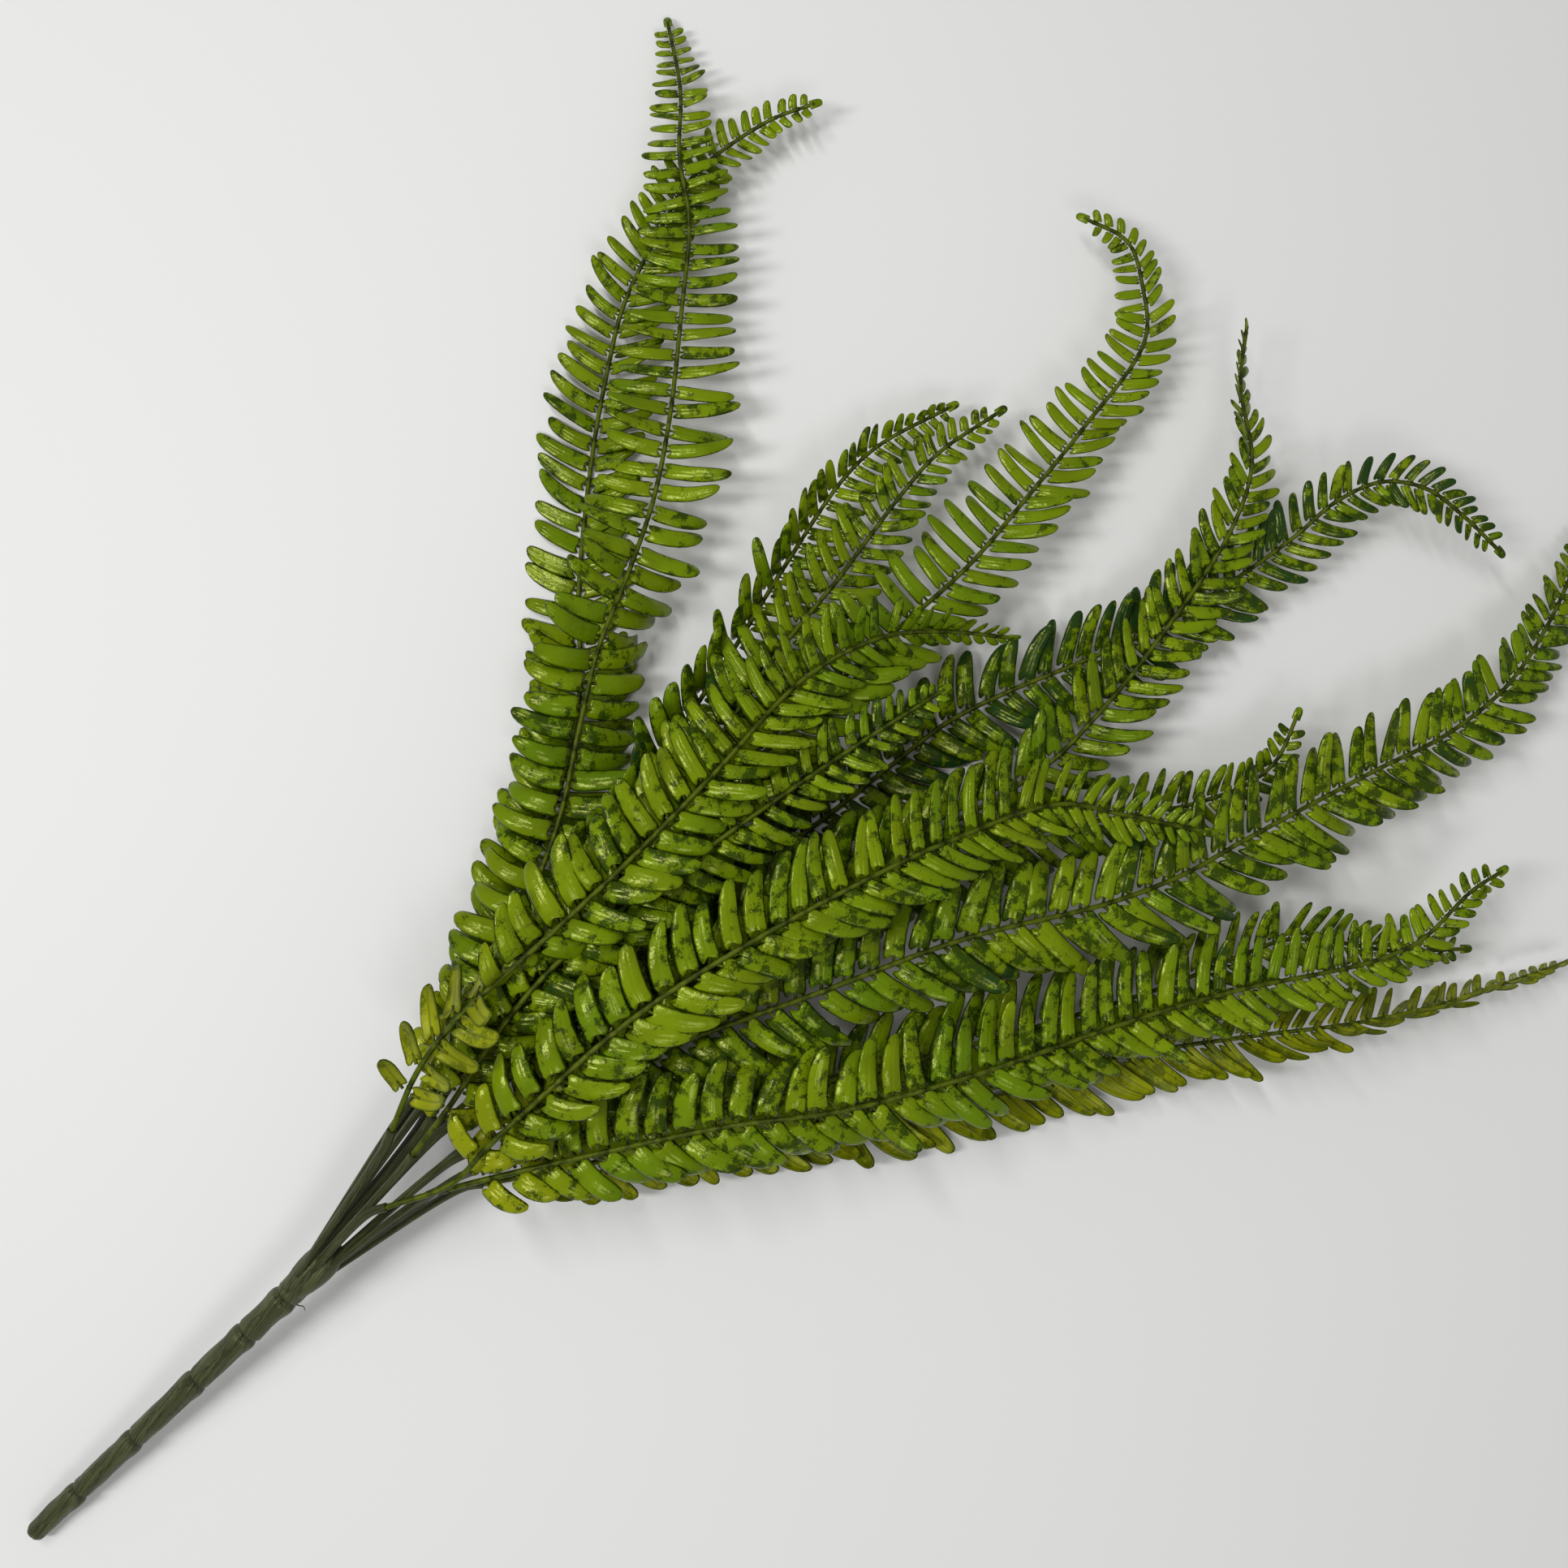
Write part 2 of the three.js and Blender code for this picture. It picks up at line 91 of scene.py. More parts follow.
# One entry for each frond, on its CAD solid's route: x, y, height and, where it is turned about its
# midrib, that turn in degrees. reach is half its width, bare the midrib before the first leaflets.
# lean is the angle between a leaflet and the midrib on the left and right side, lift how far each
# side is raised, dark how much deep green is brushed on it. Some have longer, which stretches each
# side's leaflets, broad, the width of the outer ones, or young, the yellow share at the foot.
FRONDS = [
    dict(name="frond_top", reach=0.028, bare=0.046, lean=(78, 60), lift=(4, -4), dark=0.36, route=[
        (0.044, -0.003, 0.046), (0.071, -0.014, 0.051), (0.094, -0.013, 0.058),
        (0.129, -0.013, 0.066), (0.161, -0.014, 0.070), (0.198, -0.019, 0.070),
        (0.267, -0.036, 0.066), (0.314, -0.052, 0.059), (0.353, -0.071, 0.051),
        (0.369, -0.092, 0.046), (0.390, -0.122, 0.042)]),
    dict(name="frond_long_left", reach=0.027, bare=0.018, lean=(86, 66), lift=(0, 0), dark=0.40,
         young=0.26,
         route=[
        (0.068, 0.018, 0.050, 170), (0.094, 0.028, 0.057, 165), (0.120, 0.032, 0.062, 150),
        (0.173, 0.031, 0.063), (0.216, 0.031, 0.062), (0.262, 0.033, 0.058),
        (0.313, 0.036, 0.051), (0.347, 0.027, 0.047, 40), (0.367, 0.012, 0.043, 60),
        (0.387, -0.010, 0.039, 60)]),
    dict(name="frond_inner_left", reach=0.025, bare=0.020, lean=(74, 66), lift=(0, 0), dark=0.55,
         route=[
        (0.066, 0.005, 0.045), (0.091, 0.009, 0.050), (0.137, 0.019, 0.055),
        (0.172, 0.021, 0.057), (0.247, 0.012, 0.053), (0.305, 0.003, 0.046),
        (0.352, -0.006, 0.042)]),
    dict(name="frond_front", reach=0.028, bare=0.016, lean=(84, 60), lift=(2, -6), dark=0.42,
         broad=0.80, route=[
        (0.066, -0.015, 0.042), (0.078, -0.021, 0.045), (0.107, -0.037, 0.049),
        (0.166, -0.072, 0.053), (0.206, -0.101, 0.051), (0.253, -0.127, 0.047),
        (0.322, -0.160, 0.040), (0.357, -0.179, 0.038), (0.404, -0.208, 0.036),
        (0.424, -0.215, 0.036), (0.453, -0.215, 0.035), (0.468, -0.218, 0.034)]),
    dict(name="frond_curled_tip", reach=0.026, bare=0.020, lean=(96, 62), lift=(0, 0), dark=0.2,
         route=[
        (0.081, 0.011, 0.039), (0.103, 0.016, 0.043), (0.140, 0.019, 0.049),
        (0.198, 0.023, 0.051), (0.261, 0.025, 0.047), (0.309, 0.026, 0.042),
        (0.355, 0.025, 0.036), (0.395, 0.024, 0.031), (0.433, 0.028, 0.027),
        (0.471, 0.033, 0.024), (0.515, 0.042, 0.023), (0.530, 0.059, 0.022),
        (0.539, 0.077, 0.020), (0.533, 0.097, 0.019)]),
    dict(name="frond_middle_left", reach=0.025, bare=0.020, lean=(72, 68), lift=(0, 0), dark=0.42,
         route=[
        (0.087, 0.018, 0.036), (0.108, 0.021, 0.039), (0.142, 0.024, 0.043),
        (0.203, 0.030, 0.043), (0.268, 0.042, 0.039), (0.315, 0.052, 0.034),
        (0.352, 0.057, 0.030), (0.397, 0.065, 0.024), (0.419, 0.067, 0.023),
        (0.451, 0.062, 0.022)]),
    dict(name="frond_tilted_left", reach=0.026, bare=0.020, lean=(62, 84), lift=(56, 4), dark=0.48,
         route=[
        (0.083, 0.022, 0.027), (0.112, 0.023, 0.032), (0.142, 0.026, 0.035),
        (0.191, 0.041, 0.035), (0.233, 0.048, 0.032), (0.260, 0.056, 0.030),
        (0.301, 0.066, 0.024), (0.341, 0.077, 0.020), (0.385, 0.087, 0.018),
        (0.406, 0.087, 0.016), (0.439, 0.078, 0.016)]),
    dict(name="frond_far_left", reach=0.028, bare=0.020, lean=(100, 92), lift=(0, 0), dark=0.36,
         route=[
        (0.078, 0.014, 0.027), (0.112, 0.025, 0.026), (0.128, 0.031, 0.027),
        (0.165, 0.047, 0.028), (0.200, 0.064, 0.027), (0.231, 0.085, 0.028, 20),
        (0.261, 0.104, 0.032, 40), (0.291, 0.118, 0.032, 30), (0.320, 0.134, 0.027),
        (0.348, 0.154, 0.026), (0.382, 0.183, 0.024), (0.411, 0.209, 0.023),
        (0.427, 0.232, 0.022), (0.447, 0.253, 0.016), (0.466, 0.282, 0.005)]),
    dict(name="frond_low_left", reach=0.026, bare=0.020, lean=(80, 76), lift=(6, 6), dark=0.34,
         route=[
        (0.075, 0.021, 0.018), (0.114, 0.032, 0.016), (0.149, 0.047, 0.014),
        (0.181, 0.062, 0.009), (0.220, 0.083, 0.005), (0.246, 0.104, 0.0025),
        (0.268, 0.129, 0.0012), (0.314, 0.169, 0.0025), (0.345, 0.191, 0.008),
        (0.368, 0.205, 0.012), (0.398, 0.216, 0.014), (0.427, 0.224, 0.014),
        (0.465, 0.219, 0.015), (0.484, 0.210, 0.018)]),
    dict(name="frond_long_right", reach=0.028, bare=0.020, lean=(72, 64), lift=(6, -2), dark=0.58,
         longer=(1.0, 1.2), broad=0.93,
         route=[
        (0.079, -0.009, 0.039), (0.103, -0.015, 0.042), (0.128, -0.020, 0.045),
        (0.180, -0.038, 0.046), (0.228, -0.059, 0.046), (0.288, -0.085, 0.043),
        (0.342, -0.116, 0.039), (0.373, -0.129, 0.036), (0.400, -0.136, 0.034),
        (0.460, -0.153, 0.031), (0.492, -0.163, 0.028), (0.524, -0.166, 0.026),
        (0.557, -0.161, 0.019), (0.606, -0.146, 0.005)]),
    dict(name="frond_middle_right", reach=0.025, bare=0.020, lean=(78, 66), lift=(14, 0), dark=0.58,
         route=[
        (0.082, -0.008, 0.030), (0.102, -0.010, 0.034), (0.135, -0.012, 0.038),
        (0.192, -0.024, 0.038), (0.246, -0.039, 0.036), (0.299, -0.057, 0.032),
        (0.341, -0.076, 0.030), (0.376, -0.099, 0.027), (0.396, -0.112, 0.026),
        (0.419, -0.122, 0.024), (0.434, -0.123, 0.024), (0.453, -0.115, 0.026)]),
    dict(name="frond_upturned", reach=0.026, bare=0.020, lean=(62, 66), lift=(6, 0), dark=0.5,
         route=[
        (0.082, 0.003, 0.030), (0.111, 0.000, 0.024), (0.142, -0.002, 0.022),
        (0.203, -0.013, 0.022), (0.257, -0.028, 0.022), (0.310, -0.047, 0.022),
        (0.364, -0.059, 0.022), (0.394, -0.058, 0.023), (0.425, -0.054, 0.024),
        (0.486, -0.040, 0.026), (0.511, -0.026, 0.026, 30), (0.530, 0.001, 0.026, 55),
        (0.548, 0.017, 0.028, 60)]),
    dict(name="frond_low_curl", reach=0.027, bare=0.020, lean=(68, 72), lift=(8, 4), dark=0.8,
         route=[
        (0.079, 0.006, 0.019), (0.111, 0.004, 0.014), (0.147, 0.005, 0.009),
        (0.210, -0.003, 0.003), (0.274, -0.011, 0.0012), (0.318, -0.015, 0.003),
        (0.347, -0.018, 0.008), (0.374, -0.026, 0.011), (0.418, -0.043, 0.014),
        (0.448, -0.052, 0.014), (0.504, -0.061, 0.018), (0.527, -0.062, 0.022),
        (0.546, -0.069, 0.024), (0.556, -0.083, 0.027), (0.560, -0.103, 0.026),
        (0.562, -0.124, 0.023)]),
    dict(name="frond_inner_right", reach=0.026, bare=0.020, lean=(72, 66), lift=(4, 0), dark=0.5,
         route=[
        (0.077, -0.018, 0.032), (0.113, -0.034, 0.030), (0.156, -0.061, 0.028),
        (0.201, -0.088, 0.026), (0.245, -0.114, 0.023), (0.336, -0.161, 0.019),
        (0.370, -0.174, 0.019), (0.387, -0.182, 0.019), (0.402, -0.198, 0.018),
        (0.415, -0.215, 0.018), (0.439, -0.237, 0.016)]),
    dict(name="frond_low_right", reach=0.027, bare=0.024, lean=(62, 62), lift=(-9, -9), dark=0.5,
         route=[
        (0.072, -0.024, 0.023, 180), (0.100, -0.045, 0.012, 180), (0.145, -0.072, 0.007, 180),
        (0.186, -0.103, 0.0025, 180), (0.230, -0.132, 0.0012, 180), (0.277, -0.159, 0.003, 180),
        (0.307, -0.175, 0.008, 170), (0.345, -0.200, 0.014, 148), (0.382, -0.225, 0.023, 105),
        (0.411, -0.243, 0.022, 96), (0.436, -0.256, 0.019, 96), (0.467, -0.272, 0.012, 100)]),
]

# A leaflet's rows from its base to its tip: place along it, and width as a share of its widest.
LEAFLET_ROWS = (
    (0.0, 0.86), (0.05, 1.0), (0.22, 0.98), (0.42, 0.97), (0.60, 0.94),
    (0.76, 0.86), (0.88, 0.72), (0.96, 0.50), (0.99, 0.28), (1.0, 0.06),
)
# Its columns from edge to edge: place across it, and height as a share of its crown.
LEAFLET_COLUMNS = ((-0.5, 0.0), (-0.38, 0.72), (0.0, 0.92), (0.38, 0.72), (0.5, 0.0))

# The leaflets' reach along a frond: short first ones, full ones, a tapering tip.
FIRST_REACH = 0.74
REACH_RISE = 1.8
TAPER_START = 0.6
TAPER_DEPTH = 0.74
TAPER_POWER = 1.4
# Their width as a share of their spacing, at these shares of the leafy part.
BREADTH_PLACES = (0.0, 0.2, 0.4, 0.68)
FIRST_BREADTHS = (0.77, 0.88, 0.93)
LAST_BREADTH = 0.74
# How much they differ from each other. Angles are in degrees.
LENGTH_RANGE = (0.88, 1.07)
WIDTH_RANGE = (0.92, 1.08)
HOOK_RANGE = (0.5, 1.5)
DROOP_RANGE = (14, 52)
LEAN_SPREAD = 9
LIFT, LIFT_SPREAD = 11, 13
TWIST, TWIST_SPREAD = 12, 24
PLACE_SPREAD = 0.0006
RIPPLE = 0.0007
TONE_SPREAD = 0.13
END_LEAFLET_LENGTH = 0.0055
END_LEAFLET_WIDTH = 0.0038
# The leaflet's base: its ears swept back per notch, the stalk's length under it per notch, and
# the least share of the crown's height in a narrow row.
EAR_SWEEP = 0.4
STALK_UNDERLAP = 2.5
LEAST_CROWN = 0.45

MIDRIB_TAPER = 0.30
MIDRIB_STEP = 0.0028
MIDRIB_YOUTH = 0.22
PIN_LENGTH = 0.0055
# A joint's stations: step from the joint, and a mark, 1 where it swells and -1 where it is pinched.
JOINT_STATIONS = ((-0.0006, 0.6), (0.0, 1.0), (0.0006, -1.0))
JOINT_PLACE = 0.003
JOINT_SWELL = 0.16
JOINT_PINCH = 0.12
JOINT_STAIN_REACH = 0.0017

# From the fork to the middle of the picture, along the picture's width and height.
CAMERA_ACROSS = 0.1946
CAMERA_UP = 0.1990
ROOM_STRENGTH = 0.31
# The lights: name, place along the picture's width and height, height, size and watts.
PANELS = (
    ("panel_far", -0.35, 0.75, 1.6, (0.14, 0.8), 8.5),
    ("panel_left", -0.95, 0.0, 1.5, (0.25, 0.7), 11.8),
    ("panel_near", 0.3, -1.0, 1.8, (0.6, 0.6), 6.5),
)


class LeafletSettings(bpy.types.PropertyGroup):
    """Sizes of the leaflets and how they stand on a midrib."""

    length: FloatProperty(name="Length", description="Length of the modelled leaflet",
                          default=0.026, min=0.005, unit="LENGTH")
    width: FloatProperty(name="Width", description="Greatest width of the modelled leaflet",
                         default=0.0090, min=0.002, unit="LENGTH")
    thickness: FloatProperty(name="Thickness", description="Thickness of the moulded sheet",
                             default=0.0009, min=0.0003, unit="LENGTH")
    crown: FloatProperty(name="Crown", description="Height of the arched top, per width",
                         default=0.145, min=0.0, max=0.5)
    notch: FloatProperty(name="Notch", description="Depth of the notch at the stalk, per length",
                         default=0.075, min=0.0, max=0.2)
    stalk: FloatProperty(name="Stalk", description="Length of the stalk between midrib and leaflet",
                         default=0.0018, min=0.0, unit="LENGTH")
    stalk_radius: FloatProperty(name="Stalk radius", description="Radius of the stalk",
                                default=0.0007, min=0.0001, unit="LENGTH")
    hook: FloatProperty(name="Hook", description="Sideways bend of the tip, per length",
                        default=0.25, min=0.0, max=0.6)
    first_pitch: FloatProperty(name="First pitch", description="Spacing of the first leaflets",
                               default=0.0126, min=0.002, unit="LENGTH")
    last_pitch: FloatProperty(name="Last pitch", description="Spacing of the last leaflets",
                              default=0.0046, min=0.002, unit="LENGTH")
    seed: IntProperty(name="Seed", description="Start of the leaflets' small differences",
                      default=11, min=0)


class StemSettings(bpy.types.PropertyGroup):
    """Sizes of the midribs and of the moulded stem."""

    midrib_radius: FloatProperty(name="Midrib radius", description="Radius at a frond's foot",
                                 default=0.00122, min=0.0005, unit="LENGTH")
    branch_radius: FloatProperty(name="Branch radius", description="Radius of a branch",
                                 default=0.0019, min=0.001, unit="LENGTH")
    socket_depth: FloatProperty(name="Socket depth", description="Depth of a branch's socket",
                                default=0.006, min=0.001, unit="LENGTH")
    groove: FloatProperty(name="Groove", description="Depth of the stem's lengthwise grooves",
                          default=0.00035, min=0.0, unit="LENGTH")


class ColourSettings(bpy.types.PropertyGroup):
    """Colours of the two plastics."""

    fresh: FloatVectorProperty(name="Fresh green", description="Ground colour of the leaflets",
                               default=(0.158, 0.246, 0.002), subtype="COLOR", size=3)
    leaf: FloatVectorProperty(name="Leaf green", description="Cooler green of some leaflets",
                              default=(0.106, 0.194, 0.002), subtype="COLOR", size=3)
    deep: FloatVectorProperty(name="Deep green", description="Green brushed over the leaflets",
                              default=(0.013, 0.034, 0.001), subtype="COLOR", size=3)
    tip: FloatVectorProperty(name="Tip green", description="Blue-green sprayed on dark tips",
                             default=(0.008, 0.040, 0.010), subtype="COLOR", size=3)
    under: FloatVectorProperty(name="Underside", description="Yellow-green of the undersides",
                               default=(0.260, 0.290, 0.003), subtype="COLOR", size=3)
    midrib: FloatVectorProperty(name="Midrib", description="Olive green of the midribs",
                                default=(0.058, 0.088, 0.004), subtype="COLOR", size=3)
    stem: FloatVectorProperty(name="Stem", description="Dark olive of the moulded stem",
                              default=(0.056, 0.063, 0.019), subtype="COLOR", size=3)


class StudioSettings(bpy.types.PropertyGroup):
    """The surface, the lights and the camera."""

    camera_height: FloatProperty(name="Camera height", description="Above the surface",
                                 default=0.725, min=0.1, unit="LENGTH")
    view_width: FloatProperty(name="View width", description="Width of surface in the picture",
                              default=0.676, min=0.1, unit="LENGTH")
    roll: FloatProperty(name="Roll", description="Turn of the camera about its line of sight",
                        default=math.radians(-43.4), subtype="ANGLE")
    floor: FloatVectorProperty(name="Surface", description="Colour of the surface",
                               default=(0.78, 0.78, 0.77), subtype="COLOR", size=3)


class Route:
    """A smooth line through chosen points, sampled by distance, with a turn about itself."""

    STEPS = 24

    def __init__(self, points):
        knots = np.array([point[:3] for point in points]) + FORK_PLACE
        turns = np.array([point[3] if len(point) > 3 else 0.0 for point in points])
        before = 2 * knots[0] - knots[1]
        after = 2 * knots[-1] - knots[-2]
        padded = np.vstack([before, knots, after])
        line = [knots[:1]]
        for span in range(len(knots) - 1):
            line.append(self.span(*padded[span:span + 4]))
        self.line = np.vstack(line)
        steps = np.linalg.norm(np.diff(self.line, axis=0), axis=1)
        self.distances = np.concatenate([[0.0], np.cumsum(steps)])
        self.length = self.distances[-1]
        self.turns = np.interp(np.linspace(0, len(knots) - 1, len(self.line)),
                               np.arange(len(knots)), turns)

    def span(self, p0, p1, p2, p3):
        """The curve from p1 to p2, a centripetal Catmull-Rom span."""
        d0, d1, d2 = (np.sqrt(np.linalg.norm(b - a)) for a, b in ((p0, p1), (p1, p2), (p2, p3)))
        m1 = ((p1 - p0) / d0 - (p2 - p0) / (d0 + d1) + (p2 - p1) / d1) * d1
        m2 = ((p2 - p1) / d1 - (p3 - p1) / (d1 + d2) + (p3 - p2) / d2) * d1
        t = (np.arange(1, self.STEPS + 1) / self.STEPS)[:, None]
        return (p1 + m1 * t + (3 * (p2 - p1) - 2 * m1 - m2) * t**2
                + (2 * (p1 - p2) + m1 + m2) * t**3)

    def at(self, distance):
        """The point at a distance; past either end the line goes straight on."""
        inside = min(max(distance, 0.0), self.length)
        point = np.array([np.interp(inside, self.distances, self.line[:, k]) for k in range(3)])
        return point + self.heading(inside) * (distance - inside)

    def heading(self, distance):
        low = min(max(distance - 0.002, 0.0), self.length - 0.004)
        ends = [[np.interp(at, self.distances, self.line[:, k]) for k in range(3)]
                for at in (low, low + 0.004)]
        along = np.subtract(ends[1], ends[0])
        return along / np.linalg.norm(along)

    def turn(self, distance):
        return math.radians(np.interp(distance, self.distances, self.turns))

    def axes(self, distance):
        """Unit vectors along the line, to its left and out of its upper face."""
        along = self.heading(distance)
        left = np.cross((0, 0, 1), along)
        left /= np.linalg.norm(left)
        over = np.cross(along, left)
        turn = self.turn(distance)
        turned_left = left * math.cos(turn) + over * math.sin(turn)
        return along, turned_left, np.cross(along, turned_left)


# Modelling helpers.

def deselect_all():
    bpy.ops.object.select_all(action="DESELECT")


def select_vertices(piece, test):
    """In edit mode, selects just the vertices whose place passes the test."""
    bpy.ops.mesh.select_all(action="DESELECT")
    shape = bmesh.from_edit_mesh(piece.data)
    for vertex in shape.verts:
        if test(vertex.co):
            vertex.select_set(True)
    shape.select_flush(True)
    bmesh.update_edit_mesh(piece.data)


def select_faces(piece, test):
    """In edit mode, selects just the faces that pass the test."""
    bpy.ops.mesh.select_all(action="DESELECT")
    shape = bmesh.from_edit_mesh(piece.data)
    for face in shape.faces:
        if test(face):
            face.select_set(True)
    bmesh.update_edit_mesh(piece.data)


def points_of(piece):
    points = np.empty(len(piece.data.vertices) * 3)
    piece.data.vertices.foreach_get("co", points)
    return points.reshape(-1, 3)


def move_points(piece, points):
    piece.data.vertices.foreach_set("co", np.ascontiguousarray(points).ravel())
    piece.data.update()


def turn_faces_out(merge=0.0):
    """Turns the active piece's faces outward, once vertices closer than merge are made one."""
    bpy.ops.object.mode_set(mode="EDIT")
    bpy.ops.mesh.select_all(action="SELECT")
    if merge:
        bpy.ops.mesh.remove_doubles(threshold=merge)
    bpy.ops.mesh.normals_make_consistent(inside=False)
    bpy.ops.object.mode_set(mode="OBJECT")


def join(pieces, name):
    """Joins pieces into the first and names it."""
    deselect_all()
    for piece in pieces:
        piece.select_set(True)
    bpy.context.view_layer.objects.active = pieces[0]
    bpy.ops.object.join()
    pieces[0].name = name
    pieces[0].data.name = name
    return pieces[0]


def fill_attribute(piece, name, values):
    """Stores one number for each vertex of a piece."""
    attribute = piece.data.attributes.get(name)
    if attribute is None:
        attribute = piece.data.attributes.new(name, "FLOAT", "POINT")
    count = len(piece.data.vertices)
    attribute.data.foreach_set("value", np.broadcast_to(values, count).astype(np.float32))


def fill_fibres(piece, distances, turns):
    """Stores where each vertex lies along and around its stalk, with a slow twist."""
    swirl = turns + distances * FIBRE_TWIST
    fibres = np.column_stack([distances * 30, np.cos(swirl) * FIBRE_COUNT,
                              np.sin(swirl) * FIBRE_COUNT])
    attribute = piece.data.attributes.new("fibres", "FLOAT_VECTOR", "POINT")
    attribute.data.foreach_set("vector", fibres.astype(np.float32).ravel())


def tube_along(name, points, radii, resolution=2):
    """A closed round tube through points, with its own radius at each."""
    curve = bpy.data.curves.new(name, "CURVE")
    curve.dimensions = "3D"
    curve.bevel_depth = 1.0
    curve.bevel_resolution = resolution
    curve.use_fill_caps = True
    spline = curve.splines.new("POLY")
    spline.points.add(len(points) - 1)
    spline.points.foreach_set("co", np.column_stack([points, np.ones(len(points))]).ravel())
    spline.points.foreach_set("radius", np.asarray(radii, dtype=float))
    tube = bpy.data.objects.new(name, curve)
    bpy.context.collection.objects.link(tube)
    deselect_all()
    tube.select_set(True)
    bpy.context.view_layer.objects.active = tube
    bpy.ops.object.convert(target="MESH")
    tube = bpy.context.object
    turn_faces_out(merge=0.000005)
    bpy.ops.object.shade_smooth()
    return tube


# Shader helpers.

class Socket:
    """An output socket that works in arithmetic: each operation adds a Math node."""

    def __init__(self, tree, output):
        self.tree = tree
        self.output = output

    def maths(self, operation, *values):
        node = self.tree.nodes.new("ShaderNodeMath")
        node.operation = operation
        for slot, value in zip(node.inputs, values):
            if isinstance(value, Socket):
                self.tree.links.new(value.output, slot)
            else:
                slot.default_value = value
        return Socket(self.tree, node.outputs[0])

    def __add__(self, other):
        return self.maths("ADD", self, other)

    def __radd__(self, other):
        return self.maths("ADD", other, self)

    def __sub__(self, other):
        return self.maths("SUBTRACT", self, other)

    def __rsub__(self, other):
        return self.maths("SUBTRACT", other, self)

    def __mul__(self, other):
        return self.maths("MULTIPLY", self, other)

    def __rmul__(self, other):
        return self.maths("MULTIPLY", other, self)

    def __abs__(self):
        return self.maths("ABSOLUTE", self)

    def clamped(self):
        return self.maths("MINIMUM", self.maths("MAXIMUM", self, 0.0), 1.0)

    def larger(self, other):
        return self.maths("MAXIMUM", self, other)


def scaled(colour, share):
    """A colour made darker or lighter."""
    return tuple(share * part for part in colour)


class Plastic:
    """A material built from nodes, with one Principled shader at its end."""

    def __init__(self, name):
        self.material = bpy.data.materials.new(name)
        self.material.use_nodes = True
        self.tree = self.material.node_tree
        self.shader = self.tree.nodes["Principled BSDF"]

    def node(self, kind, settings, values, output=0):
        """Adds a node: its settings first, then its sockets' values or links, by name or number."""
        node = self.tree.nodes.new(kind)
        for key, value in settings.items():
            setattr(node, key, value)
        for key, value in values.items():
            self.feed(node.inputs[key], value)
        return Socket(self.tree, node.outputs[output])

    def feed(self, slot, value):
        if isinstance(value, Socket):
            self.tree.links.new(value.output, slot)
        else:
            slot.default_value = value

    def place(self, stretch=(1.0, 1.0, 1.0)):
        """Object coordinates, stretched."""
        coordinates = self.node("ShaderNodeTexCoord", {}, {}, output="Object")
        return self.node("ShaderNodeMapping", {}, {"Vector": coordinates, "Scale": stretch})

    def noise(self, vector, scale, detail=2.0, roughness=0.5):
        return self.node("ShaderNodeTexNoise", {}, {"Vector": vector, "Scale": scale,
                                                    "Detail": detail, "Roughness": roughness})

    def ramp(self, value, low, high):
        """Rises smoothly from 0 to 1 as the value goes from low to high."""
        return self.node("ShaderNodeMapRange", {"interpolation_type": "SMOOTHSTEP"},
                         {"Value": value, "From Min": low, "From Max": high})

    def mix(self, factor, first, second):
        """Mixes two colours. A Mix node's sockets 6 and 7 and output 2 are its colour ones."""
        first, second = (colour if isinstance(colour, Socket) else (*colour, 1.0)
                         for colour in (first, second))
        return self.node("ShaderNodeMix", {"data_type": "RGBA"},
                         {0: factor, 6: first, 7: second}, output=2)

    def attribute(self, name, output="Fac"):
        return self.node("ShaderNodeAttribute", {"attribute_name": name}, {}, output=output)

    def finish(self, colour, roughness, height, distance, strength=1.0):
        """Feeds the shader: colour, roughness and a bump of the given height in metres."""
        self.feed(self.shader.inputs["Base Color"], colour)
        self.feed(self.shader.inputs["Roughness"], roughness)
        normal = self.node("ShaderNodeBump", {}, {"Height": height, "Distance": distance,
                                                  "Strength": strength})
        self.feed(self.shader.inputs["Normal"], normal)
        return self.material


